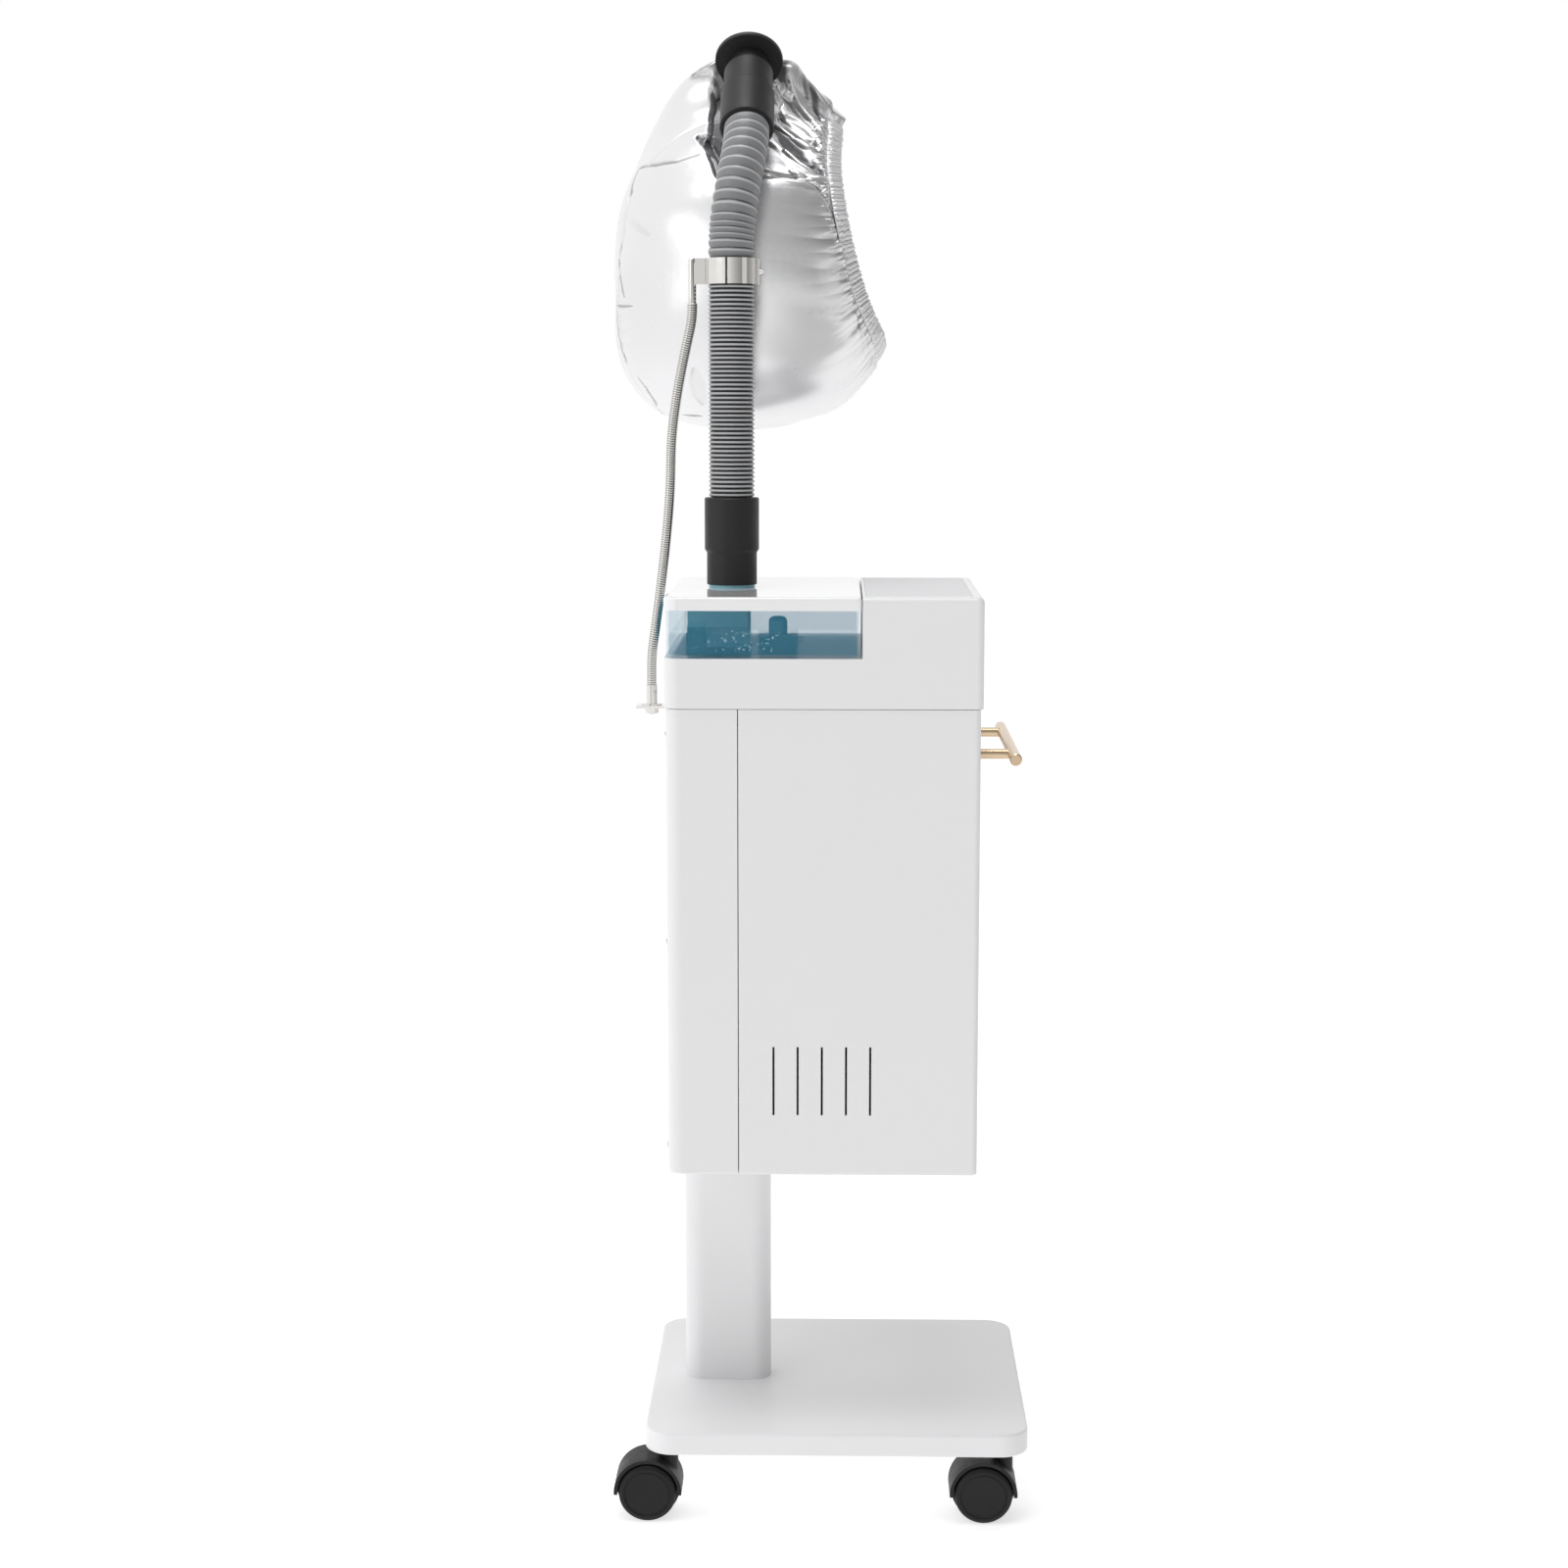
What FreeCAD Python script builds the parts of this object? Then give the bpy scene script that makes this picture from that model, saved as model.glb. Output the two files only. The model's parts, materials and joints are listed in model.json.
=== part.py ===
import FreeCAD, Part
import math
import os
import re
import Sketcher
from FreeCAD import Placement, Rotation, Vector

# Rolling hair steamer: a cabinet that slides on a column over a base with four casters, a water
# tank on top, a mist hose held up by a gooseneck and a soft silver hood.
#
# Frame: millimetres, +Z up, +X towards the front of the cabinet, origin on the floor under the
# centre of the base plate. Driving sizes live in the spreadsheet "Dims".

doc = FreeCAD.newDocument("hair_steamer")

# ---------------------------------------------------------------------------------------------
# Driving dimensions
# ---------------------------------------------------------------------------------------------
SIZES = {
    # base plate and column
    "base_length": 333.0, "base_width": 304.5, "base_thick": 20.0, "base_corner": 25.0,
    "base_bottom": 61.5, "base_edge": 2.0, "base_skin": 4.0, "boss_radius": 14.0,
    "column_x": -99.0, "column_length": 78.0, "column_width": 36.0, "column_corner": 17.0,
    "column_wall": 2.5, "column_top": 545.0, "foot_thick": 6.0,
    # casters
    "caster_x": 146.0, "caster_y": 127.0, "caster_trail": 18.0, "wheel_radius": 25.0,
    "wheel_inner": 5.2, "wheel_outer": 22.0, "axle_radius": 3.0, "hood_radius": 29.4,
    "hood_gap": 26.4, "hood_half": 19.5, "pin_radius": 3.0, "collar_radius": 8.0,
    "running_gap": 0.08, "swivel_top": 58.6,
    # cabinet
    "rear_x": -146.0, "front_x": 120.3, "cabinet_half": 127.6, "cabinet_bottom": 305.0,
    "cabinet_top": 708.2, "rear_corner": 13.0, "front_corner": 4.5, "wall": 2.5,
    "seam_x": -84.7, "seam_gap": 0.8, "sleeve_wall": 3.0, "sleeve_length": 120.0,
    "slide_gap": 0.35, "slot_width": 1.8, "slot_length": 60.0, "slot_bottom": 358.0,
    "slot_first": -54.6, "slot_pitch": 20.7,
    # upper housing, tank and lid
    "cap_rear": -147.5, "cap_front": 122.5, "cap_half": 128.6, "cap_bottom": 708.8,
    "cap_top": 802.9, "deck_top": 751.1, "step_x": 20.3, "cap_edge": 5.0,
    "panel_rear": 23.0, "panel_front": 113.0, "panel_half": 117.0, "panel_thick": 1.6,
    "tank_rear": -145.8, "tank_front": 19.3, "tank_half": 127.0, "tank_bottom": 751.4,
    "tank_top": 791.4, "tank_wall": 2.5, "lid_front": 19.6, "lid_edge": 3.0,
    # mist outlet, cuffs and hose
    "spout_x": -94.0, "spout_radius": 20.3, "spout_bore": 18.0, "cuff_bottom": 805.2,
    "cuff_narrow": 22.0, "cuff_wide": 23.9, "cuff_narrow_length": 31.0, "cuff_wide_length": 45.0,
    "cuff_bore": 20.6, "hose_radius": 20.2, "hose_bore": 17.0,
    # hood
    "flange_radius": 30.5, "flange_thick": 4.0, "neck_radius": 17.0, "neck_length": 17.0,
    "clamp_radius": 22.0,
    "fabric": 3.0, "rim_fabric": 5.0, "rim_width": 17.0,
    "blower_shaft": 2.5,
    # gooseneck and clip
    "goose_radius": 4.4, "goose_x": -165.5, "bracket_z": 697.0, "clip_bottom": 1065.5,
    "clip_top": 1087.7, "clip_gap": 0.4, "clip_band": 1.8, "sleeve_x": -128.0,
    # handle
    "bar_x": 150.5, "bar_z": 664.8, "bar_radius": 5.2, "bar_half": 117.0, "post_radius": 4.3,
    "post_half": 77.0,
}

sheet = doc.addObject("Spreadsheet::Sheet", "Dims")
for row, (alias, value) in enumerate(SIZES.items(), start=1):
    sheet.set(f"A{row}", alias)
    sheet.set(f"B{row}", str(value))
    sheet.setAlias(f"B{row}", alias)
doc.recompute()

WORD = re.compile(r"[a-z_]+")
parts = []


def formula(text):
    """Turn 'base_length / 2' into an expression on the sheet's cells."""
    return WORD.sub(lambda m: f"Dims.{m[0]}" if m[0] in SIZES else m[0], str(text))


def size(text):
    """The value of a formula on the sheet's sizes: sums of products and quotients."""
    total = 0.0
    for sign, term in re.findall(r"([+-]?)\s*([^+\-\s][^+\-]*)", str(text)):
        product = 1.0
        factors = re.findall(r"([*/]?)\s*([\w.]+)", term)
        for operator, factor in factors:
            value = SIZES[factor] if factor in SIZES else float(factor)
            product = product / value if operator == "/" else product * value
        total += -product if sign == "-" else product
    return total


def bind(item, **values):
    """Set properties from numbers, or bind them to formulas on the sheet."""
    for name, value in values.items():
        if isinstance(value, str):
            item.setExpression(name, formula(value))
        else:
            setattr(item, name, value)
    return item


def move(item, at, rotation=None):
    """Place an item, its three coordinates being numbers or formulas."""
    numbers = [0.0 if isinstance(c, str) else c for c in at]
    item.Placement = Placement(Vector(*numbers), rotation or Rotation())
    for axis, value in zip("xyz", at):
        if isinstance(value, str):
            item.setExpression(f"Placement.Base.{axis}", formula(value))
    return item


def keep(item, label):
    """Name an item as one physical piece of the steamer."""
    item.Label = label
    parts.append(item)
    return item


ALONG_X = Rotation(Vector(0, 1, 0), 90)
ALONG_Y = Rotation(Vector(1, 0, 0), -90)


def box(lengths, at):
    """A box of three lengths from its lowest corner."""
    item = doc.addObject("Part::Box", "box")
    bind(item, Length=lengths[0], Width=lengths[1], Height=lengths[2])
    return move(item, at)


def rod(radius, length, at, rotation=None):
    """A cylinder from the centre of its first end."""
    item = doc.addObject("Part::Cylinder", "rod")
    bind(item, Radius=radius, Height=length)
    return move(item, at, rotation)


def cut(base, *tools):
    for tool in tools:
        item = doc.addObject("Part::Cut", "cut")
        item.Base, item.Tool = base, tool
        base = item
    return base


def common(base, tool):
    item = doc.addObject("Part::Common", "common")
    item.Base, item.Tool = base, tool
    return item


def fuse(*shapes):
    item = doc.addObject("Part::MultiFuse", "fuse")
    item.Shapes = list(shapes)
    return item


def group(*shapes):
    """Several separate solids that stay separate in one piece list entry."""
    item = doc.addObject("Part::Compound", "group")
    item.Links = list(shapes)
    return item


def tube(radius, bore, length, at, rotation=None):
    return cut(rod(radius, length, at, rotation), rod(bore, length, at, rotation))


def plane_of(body, role):
    return next(f for f in body.Origin.OriginFeatures if f.Role == role)


def sketch_on(body, role):
    sketch = body.newObject("Sketcher::SketchObject", "profile")
    sketch.AttachmentSupport = [(plane_of(body, role), "")]
    sketch.MapMode = "FlatFace"
    return sketch


def edges_where(shape, test):
    return [f"Edge{i}" for i, edge in enumerate(shape.Edges, start=1) if test(edge)]


def upright(edge):
    return abs(edge.tangentAt(edge.FirstParameter).z) > 0.999


def slab(lengths, at, corners=(), lips=()):
    """A padded rectangle centred on x and y, standing on its lowest z, with rounded corners.

    corners holds (radius, side) pairs, side being -1 for the rear pair, 1 for the front pair and
    0 for all four; lips holds (radius, "top" or "bottom") pairs for the horizontal edges.
    """
    body = doc.addObject("PartDesign::Body", "body")
    sketch = sketch_on(body, "XY_Plane")
    half_x, half_y = size(lengths[0]) / 2, size(lengths[1]) / 2
    ring = [Vector(sx * half_x, sy * half_y, 0) for sx, sy in ((-1, -1), (1, -1), (1, 1), (-1, 1))]
    for first, last in zip(ring, ring[1:] + ring[:1]):
        sketch.addGeometry(Part.LineSegment(first, last))
    for i in range(4):
        sketch.addConstraint(Sketcher.Constraint("Coincident", i, 2, (i + 1) % 4, 1))
    sketch.addConstraint(Sketcher.Constraint("Horizontal", 0))
    sketch.addConstraint(Sketcher.Constraint("Vertical", 1))
    sketch.addConstraint(Sketcher.Constraint("Horizontal", 2))
    sketch.addConstraint(Sketcher.Constraint("Vertical", 3))
    sketch.addConstraint(Sketcher.Constraint("Symmetric", 0, 1, 2, 1, -1, 1))
    along = sketch.addConstraint(Sketcher.Constraint("DistanceX", 0, 1, 0, 2, 2 * half_x))
    across = sketch.addConstraint(Sketcher.Constraint("DistanceY", 1, 1, 1, 2, 2 * half_y))
    sketch.setExpression(f"Constraints[{along}]", formula(lengths[0]))
    sketch.setExpression(f"Constraints[{across}]", formula(lengths[1]))
    pad = body.newObject("PartDesign::Pad", "pad")
    pad.Profile = sketch
    pad.setExpression("Length", formula(lengths[2]))
    doc.recompute()
    last = pad
    for radius, side in corners:
        found = edges_where(
            last.Shape,
            lambda e: upright(e) and isinstance(e.Curve, Part.Line) and side * e.CenterOfMass.x >= 0,
        )
        last = fillet(body, last, found, radius)
    for radius, lip in lips:
        level = last.Shape.BoundBox.ZMax if lip == "top" else last.Shape.BoundBox.ZMin
        found = edges_where(
            last.Shape,
            lambda e: abs(e.BoundBox.ZMin - level) < 1e-4 and abs(e.BoundBox.ZMax - level) < 1e-4,
        )
        last = fillet(body, last, found, radius)
    return move(body, at)


def fillet(body, base, edges, radius):
    item = body.newObject("PartDesign::Fillet", "fillet")
    item.Base = (base, edges)
    item.setExpression("Radius", formula(radius))
    doc.recompute()
    return item


def revolved(profile, at, rotation=None):
    """A full turn about the body's own Z of a closed profile of (radius, height) pairs."""
    body = doc.addObject("PartDesign::Body", "turned")
    sketch = sketch_on(body, "XZ_Plane")
    ring = [Vector(size(r), size(h), 0) for r, h in profile]
    for first, last in zip(ring, ring[1:] + ring[:1]):
        sketch.addGeometry(Part.LineSegment(first, last))
    count = len(ring)
    for i in range(count):
        sketch.addConstraint(Sketcher.Constraint("Coincident", i, 2, (i + 1) % count, 1))
    for i, (r, h) in enumerate(profile):
        if size(r) > 0:
            along = sketch.addConstraint(Sketcher.Constraint("DistanceX", -1, 1, i, 1, size(r)))
            sketch.setExpression(f"Constraints[{along}]", formula(r))
        else:
            sketch.addConstraint(Sketcher.Constraint("PointOnObject", i, 1, -2))
        if size(h) != 0:
            up = sketch.addConstraint(Sketcher.Constraint("DistanceY", -1, 1, i, 1, size(h)))
            sketch.setExpression(f"Constraints[{up}]", formula(h))
        else:
            sketch.addConstraint(Sketcher.Constraint("PointOnObject", i, 1, -1))
    turn = body.newObject("PartDesign::Revolution", "turn")
    turn.Profile = sketch
    turn.ReferenceAxis = (sketch, ["V_Axis"])
    turn.Angle = 360
    return move(body, at, rotation)


def freeform(shape):
    """A piece whose shape comes straight from Part's own functions."""
    item = doc.addObject("Part::Feature", "freeform")
    item.Shape = shape
    return item


def rounded_route(points):
    """Straight runs joined by tangent arcs, each arc as large as its two runs allow."""
    points = [Vector(*p) for p in points]
    edges, start = [], points[0]
    for before, corner, after in zip(points, points[1:], points[2:]):
        into, out = corner - before, after - corner
        reach = 0.45 * min(into.Length, out.Length)
        half_turn = into.getAngle(out) / 2
        radius = reach / math.tan(half_turn)
        print(f"  bend {math.degrees(2 * half_turn):5.1f} deg, radius {radius:6.1f}")
        into.normalize()
        out.normalize()
        first, last = corner - into * reach, corner + out * reach
        inward = (out - into).normalize()
        middle = corner + inward * (radius / math.cos(half_turn) - radius)
        edges.append(Part.LineSegment(start, first).toShape())
        edges.append(Part.Arc(first, middle, last).toShape())
        start = last
    edges.append(Part.LineSegment(start, points[-1]).toShape())
    return Part.Wire(edges)


def swept(route, radius):
    """A round bar along a route, compared with its section times its length."""
    edge = route.Edges[0]
    direction = edge.tangentAt(edge.FirstParameter)
    ring = Part.Wire(Part.makeCircle(radius, edge.valueAt(edge.FirstParameter), direction))
    solid = route.makePipeShell([ring], True, False)
    expected = math.pi * radius**2 * route.Length
    assert abs(solid.Volume / expected - 1) < 0.01, (solid.Volume, expected)
    return solid


# ---------------------------------------------------------------------------------------------
# Base plate and column
# ---------------------------------------------------------------------------------------------
CASTERS = {"front_right": (1, -1), "rear_right": (-1, -1), "front_left": (1, 1), "rear_left": (-1, 1)}
# Which way along X each pair of wheels trails its pivot.
TRAILS = {"front_right": -1, "rear_right": -1, "front_left": -1, "rear_left": 1}
FOOT_SCREWS = [(sx * 18.0, sy * 6.0) for sx in (-1, 1) for sy in (-1, 1)]


def caster_place(side_x, side_y):
    return f"{side_x} * caster_x", f"{side_y} * caster_y"


def make_base():
    """Pressed tray, open underneath, with a boss over each caster and a block under the column."""
    plate = slab(
        ("base_length", "base_width", "base_thick"), (0, 0, "base_bottom"),
        corners=[("base_corner", 0)], lips=[("base_edge", "top"), ("base_edge", "bottom")],
    )
    depth = "base_thick - base_skin"
    underside = slab(
        ("base_length - 2 * base_skin", "base_width - 2 * base_skin", depth), (0, 0, "base_bottom"),
        corners=[("base_corner - base_skin", 0)],
    )
    bosses = [
        rod("boss_radius", depth, (*caster_place(*side), "base_bottom")) for side in CASTERS.values()
    ]
    bosses.append(box((84, 44, depth), ("column_x - 42", -22, "base_bottom")))
    holes = [
        rod("pin_radius + 2", "base_thick - 4", (*caster_place(*side), "base_bottom"))
        for side in CASTERS.values()
    ]
    for dx, dy in FOOT_SCREWS:
        holes.append(rod(3.1, "base_thick", (f"column_x + {dx}", dy, "base_bottom")))
        holes.append(rod(6.2, 5, (f"column_x + {dx}", dy, "base_bottom")))
    keep(cut(plate, cut(underside, *bosses), *holes), "base_plate")


def make_column():
    place = ("column_x", 0, "base_bottom + base_thick")
    height = "column_top - base_bottom - base_thick"
    outer = slab(("column_length", "column_width", height), place, corners=[("column_corner", 0)])
    inner = slab(
        ("column_length - 2 * column_wall", "column_width - 2 * column_wall", height), place,
        corners=[("column_corner - column_wall", 0)],
    )
    foot = slab(
        ("column_length - 2 * column_wall", "column_width - 2 * column_wall", "foot_thick"), place,
        corners=[("column_corner - column_wall", 0)],
    )
    taps = [
        rod(3.1, "foot_thick", (f"column_x + {dx}", dy, "base_bottom + base_thick"))
        for dx, dy in FOOT_SCREWS
    ]
    keep(fuse(cut(outer, inner), cut(foot, *taps)), "column")
    screws = []
    for dx, dy in FOOT_SCREWS:
        shank = rod(3.0, "base_thick + foot_thick - 1", (f"column_x + {dx}", dy, "base_bottom + 1"))
        head = rod(6.0, 3.9, (f"column_x + {dx}", dy, "base_bottom + 1"))
        socket = rod(2.5, 2.4, (f"column_x + {dx}", dy, "base_bottom + 1"))
        screws.append(cut(fuse(shank, head), socket))
    keep(group(*screws), "column_screws")


# ---------------------------------------------------------------------------------------------
# Casters
# ---------------------------------------------------------------------------------------------
def make_caster_stem(x, y):
    """Threaded stem in the base, a washer under it and the pivot pin that the hood turns on."""
    thread = rod("pin_radius + 2", "base_thick - 5", (x, y, "base_bottom"))
    washer = rod("collar_radius", "base_bottom - swivel_top - 0.3", (x, y, "swivel_top + 0.3"))
    pin = rod("pin_radius", "base_bottom - 34", (x, y, 34))
    return fuse(thread, washer, pin)


def make_caster_hood(x, y, axle_x):
    """Curved cover over both wheels, a web between them and the collar around the pivot pin."""
    start = f"{y} - hood_half"
    cover = cut(
        rod("hood_radius", "2 * hood_half", (axle_x, start, "wheel_radius"), ALONG_Y),
        rod("hood_gap", "2 * hood_half", (axle_x, start, "wheel_radius"), ALONG_Y),
        box((70, 50, 40), (f"{axle_x} - 35", f"{y} - 25", "wheel_radius - 42")),
    )
    web = rod("hood_gap + 1", "2 * wheel_inner - 0.8", (axle_x, f"{y} - wheel_inner + 0.4",
              "wheel_radius"), ALONG_Y)
    collar = cut(
        rod("collar_radius", "swivel_top - 36", (x, y, 36)),
        rod("hood_gap", 40, (axle_x, f"{y} - 20", "wheel_radius"), ALONG_Y),
    )
    bore = rod("pin_radius + running_gap", 40, (x, y, 33.5))
    floor_cut = box((60, 12, 12), (f"{axle_x} - 30", f"{y} - 6", -6))
    axle_bore = rod("axle_radius", 20, (axle_x, f"{y} - 10", "wheel_radius"), ALONG_Y)
    return cut(fuse(cover, web, collar), bore, floor_cut, axle_bore)


def make_wheel(axle_x, y, side):
    """Moulded twin-caster wheel: rounded tread, shallow face ring and a blind bore."""
    edge, inner, outer = "wheel_radius", "wheel_inner", "wheel_outer"
    bore = "axle_radius + running_gap"
    profile = [
        (bore, inner), (f"{edge} - 2", inner), (edge, f"{inner} + 2"), (edge, f"{outer} - 3"),
        (f"{edge} - 0.8", f"{outer} - 1.2"), (f"{edge} - 3", outer), (f"{edge} - 4.6", outer),
        (f"{edge} - 5", f"{outer} - 0.6"), (f"{edge} - 6", f"{outer} - 0.6"),
        (f"{edge} - 6.6", f"{outer} - 0.2"), ("0", f"{outer} - 0.2"), ("0", f"{outer} - 3"),
        (bore, f"{outer} - 3"),
    ]
    rotation = Rotation(Vector(1, 0, 0), -90 * side)
    return revolved(profile, (axle_x, y, "wheel_radius"), rotation)


def make_casters():
    stems = []
    for name, side in CASTERS.items():
        x, y = caster_place(*side)
        axle_x = f"{x} + ({TRAILS[name]}) * caster_trail"
        stems.append(make_caster_stem(x, y))
        keep(make_caster_hood(x, y, axle_x), f"caster_{name}_hood")
        start = (axle_x, f"{y} - wheel_outer + 3.5", "wheel_radius")
        keep(rod("axle_radius", "2 * wheel_outer - 7", start, ALONG_Y), f"caster_{name}_axle")
        keep(make_wheel(axle_x, y, 1), f"caster_{name}_wheel_left")
        keep(make_wheel(axle_x, y, -1), f"caster_{name}_wheel_right")
    keep(group(*stems), "caster_stems")


# ---------------------------------------------------------------------------------------------
# Cabinet
# ---------------------------------------------------------------------------------------------
CABINET_MIDDLE = "rear_x / 2 + front_x / 2"
CABINET_HEIGHT = "cabinet_top - cabinet_bottom"


def cabinet_block(inset, height, at_z):
    return slab(
        (f"front_x - rear_x - 2 * {inset}", f"2 * cabinet_half - 2 * {inset}", height),
        (CABINET_MIDDLE, 0, at_z),
        corners=[(f"rear_corner - {inset}", -1), (f"front_corner - {inset}", 1)],
    )


def cabinet_walls():
    outer = slab(
        ("front_x - rear_x", "2 * cabinet_half", CABINET_HEIGHT),
        (CABINET_MIDDLE, 0, "cabinet_bottom"),
        corners=[("rear_corner", -1), ("front_corner", 1)], lips=[("wall", "bottom")],
    )
    return cut(outer, cabinet_block("wall", CABINET_HEIGHT, "cabinet_bottom"))


def vent_slots():
    """Five upright slots through both side walls."""
    slots = []
    for i in range(5):
        x = f"slot_first + {i} * slot_pitch - slot_width / 2"
        slots.append(box(("slot_width", 300, "slot_length"), (x, -150, "slot_bottom")))
    return slots


def make_cabinet():
    front_half = box((300, 300, 500), ("seam_x + seam_gap / 2", -150, 280))
    rear_half = box((100, 300, 500), ("seam_x - seam_gap / 2 - 100", -150, 280))
    posts = [rod(2.6, 20, ("front_x - 10", f"{s} * post_half", "bar_z"), ALONG_X) for s in (-1, 1)]
    keep(cut(common(cabinet_walls(), front_half), *vent_slots(), *posts), "main_casing")
    inlet_hole = box((20, 27.4, 19.4), ("rear_x - 10", -48.7, 335.3))
    switch_hole = box((20, 21.4, 15.4), ("rear_x - 10", 29.3, 337.3))
    screw_holes = [
        rod(1.6, 20, ("rear_x - 10", y, z), ALONG_X) for y in (-100, 100) for z in (325, 505, 685)
    ]
    bracket_holes = [rod(2.1, 20, ("rear_x - 10", y, "bracket_z - 12"), ALONG_X) for y in (-7, 7)]
    keep(
        cut(common(cabinet_walls(), rear_half), inlet_hole, switch_hole, *screw_holes, *bracket_holes),
        "rear_cover",
    )
    make_rear_screws()
    make_floor()


def make_rear_screws():
    """Pan-head screws that hold the rear cover."""
    screws = []
    for y in (-100, 100):
        for z in (325, 505, 685):
            shank = rod(1.5, 12, ("rear_x - 1", y, z), ALONG_X)
            head = rod(3.0, 1.6, ("rear_x - 1.6", y, z), ALONG_X)
            cross = box((1, 0.9, 3.6), ("rear_x - 1.7", y - 0.45, z - 1.8))
            screws.append(cut(fuse(shank, head), cross))
    keep(group(*screws), "rear_cover_screws")


def column_pocket(extra, height, at_z):
    """The column's outline grown by a margin all round."""
    return slab(
        (f"column_length + 2 * {extra}", f"column_width + 2 * {extra}", height),
        ("column_x", 0, at_z), corners=[(f"column_corner + {extra} - 0.01", 0)],
    )


def make_floor():
    """Bottom plate, the sleeve that slides on the column and the clamp block for the lock knob."""
    plate = cut(
        cabinet_block("wall", 3, "cabinet_bottom + 1"),
        column_pocket("sleeve_wall", 10, "cabinet_bottom - 2"),
    )
    block = box((18, 13.6, 15), ("column_x + 22", "-column_width / 2 - 14", "cabinet_bottom - 13"))
    thread = rod(2.58, 30, ("column_x + 31", -45, "cabinet_bottom - 7"), ALONG_Y)
    sleeve_room = column_pocket("sleeve_wall", 20, "cabinet_bottom + 1")
    keep(cut(fuse(plate, block), thread, sleeve_room), "cabinet_floor")
    outer = column_pocket("sleeve_wall", "sleeve_length", "cabinet_bottom + 1")
    inner = column_pocket("slide_gap", "sleeve_length", "cabinet_bottom + 1")
    keep(cut(outer, inner), "column_sleeve")
    shank = rod(2.5, 18, ("column_x + 31", "-column_width / 2 - 18.4", "cabinet_bottom - 7"), ALONG_Y)
    head = revolved(
        [("0", "0"), ("5", "0"), ("6", "1"), ("6", "6.5"), ("5", "7.5"), ("0", "7.5")],
        ("column_x + 31", "-column_width / 2 - 22", "cabinet_bottom - 7"), ALONG_Y,
    )
    keep(fuse(shank, head), "lock_knob")


# ---------------------------------------------------------------------------------------------
# Upper housing and control panel
# ---------------------------------------------------------------------------------------------
def cap_block(inset, height, at_z, lips=()):
    return slab(
        (f"cap_front - cap_rear - 2 * {inset}", f"2 * cap_half - 2 * {inset}", height),
        ("cap_rear / 2 + cap_front / 2", 0, at_z),
        corners=[(f"rear_corner + 1 - {inset}", -1), (f"front_corner + 1 - {inset}", 1)], lips=lips,
    )


def make_upper_housing():
    outer = cap_block("0", "cap_top - cap_bottom", "cap_bottom", lips=[("cap_edge", "top")])
    tank_bay = box((180, 300, 80), ("step_x - 180", -150, "deck_top"))
    lower_room = cap_block("wall", "deck_top - cap_bottom - wall", "cap_bottom")
    upper_room = common(
        cap_block("wall", "cap_top - deck_top - wall", "deck_top - wall - 1"),
        box((120, 300, 80), ("step_x + wall", -150, "deck_top - wall - 1")),
    )
    recess = box(
        ("panel_front - panel_rear + 0.4", "2 * panel_half + 0.4", 5),
        ("panel_rear - 0.2", "-panel_half - 0.2", "cap_top - panel_thick"),
    )
    disc_holes = [rod(9.1, 10, (x, y, "deck_top - 6")) for x, y in NEBULISERS]
    port = rod(14.1, 10, (PORT_X, 0, "deck_top - 6"))
    keep(cut(outer, tank_bay, lower_room, upper_room, recess, *disc_holes, port), "upper_housing")
    panel = slab(
        ("panel_front - panel_rear", "2 * panel_half", "panel_thick"),
        ("panel_front / 2 + panel_rear / 2", 0, "cap_top - panel_thick"), corners=[("wall", 0)],
    )
    keep(panel, "control_panel")
    board = box((80, 200, 1.6), ("panel_rear + 4", -100, "cap_top - 12"))
    parts_on_board = [box((12, 16, 5), ("panel_rear + 30", y, "cap_top - 17")) for y in (-60, 0, 55)]
    keep(fuse(board, *parts_on_board), "control_board")


# ---------------------------------------------------------------------------------------------
# Mist works inside the cabinet
# ---------------------------------------------------------------------------------------------
NEBULISERS = [(-40.0, 30.0), (-40.0, 62.0)]
PORT_X = -104.0
BLOWER_X, BLOWER_Z = 30.0, 560.0
BLADES = 18


def make_mist_works():
    discs = []
    for x, y in NEBULISERS:
        can = rod(9.0, 14, (x, y, "deck_top - 14"))
        face = rod(7.0, 1, (x, y, "deck_top - 1"))
        discs.append(cut(can, face))
    keep(group(*discs), "nebuliser_discs")
    x, z = BLOWER_X, BLOWER_Z
    scroll = rod(45, 36, (x, -18, z), ALONG_Y)
    outlet = box((34, 36, 60), (x - 45, -18, z))
    hollow = rod(42, 31, (x, -15.5, z), ALONG_Y)
    channel = box((29, 31, 70), (x - 42.5, -15.5, z))
    eye = rod(20, 10, (x, -22, z), ALONG_Y)
    shaft_hole = rod(4, 10, (x, 12, z), ALONG_Y)
    keep(cut(fuse(scroll, outlet), hollow, channel, eye, shaft_hole), "blower_housing")
    can = rod(26, 34, (x, 18, z), ALONG_Y)
    shaft = rod("blower_shaft", 30, (x, -9, z), ALONG_Y)
    keep(fuse(can, shaft), "blower_motor")
    make_impeller()
    duct = rounded_route(
        [(2.0, 0, 622.0), (2.0, 0, 655.0), (-50.0, 0, 678.0), (PORT_X, 0, 700.0), (PORT_X, 0, 748.0)]
    )
    walls = swept(duct, 14.0).cut(swept(duct, 12.0))
    keep(freeform(walls), "mist_duct")
    case = box((110, 80, 40), (-40, -40, 330))
    fins = [box((90, 2, 6), (-30, y, 370)) for y in range(-30, 31, 12)]
    keep(fuse(case, *fins), "power_supply")


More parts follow.
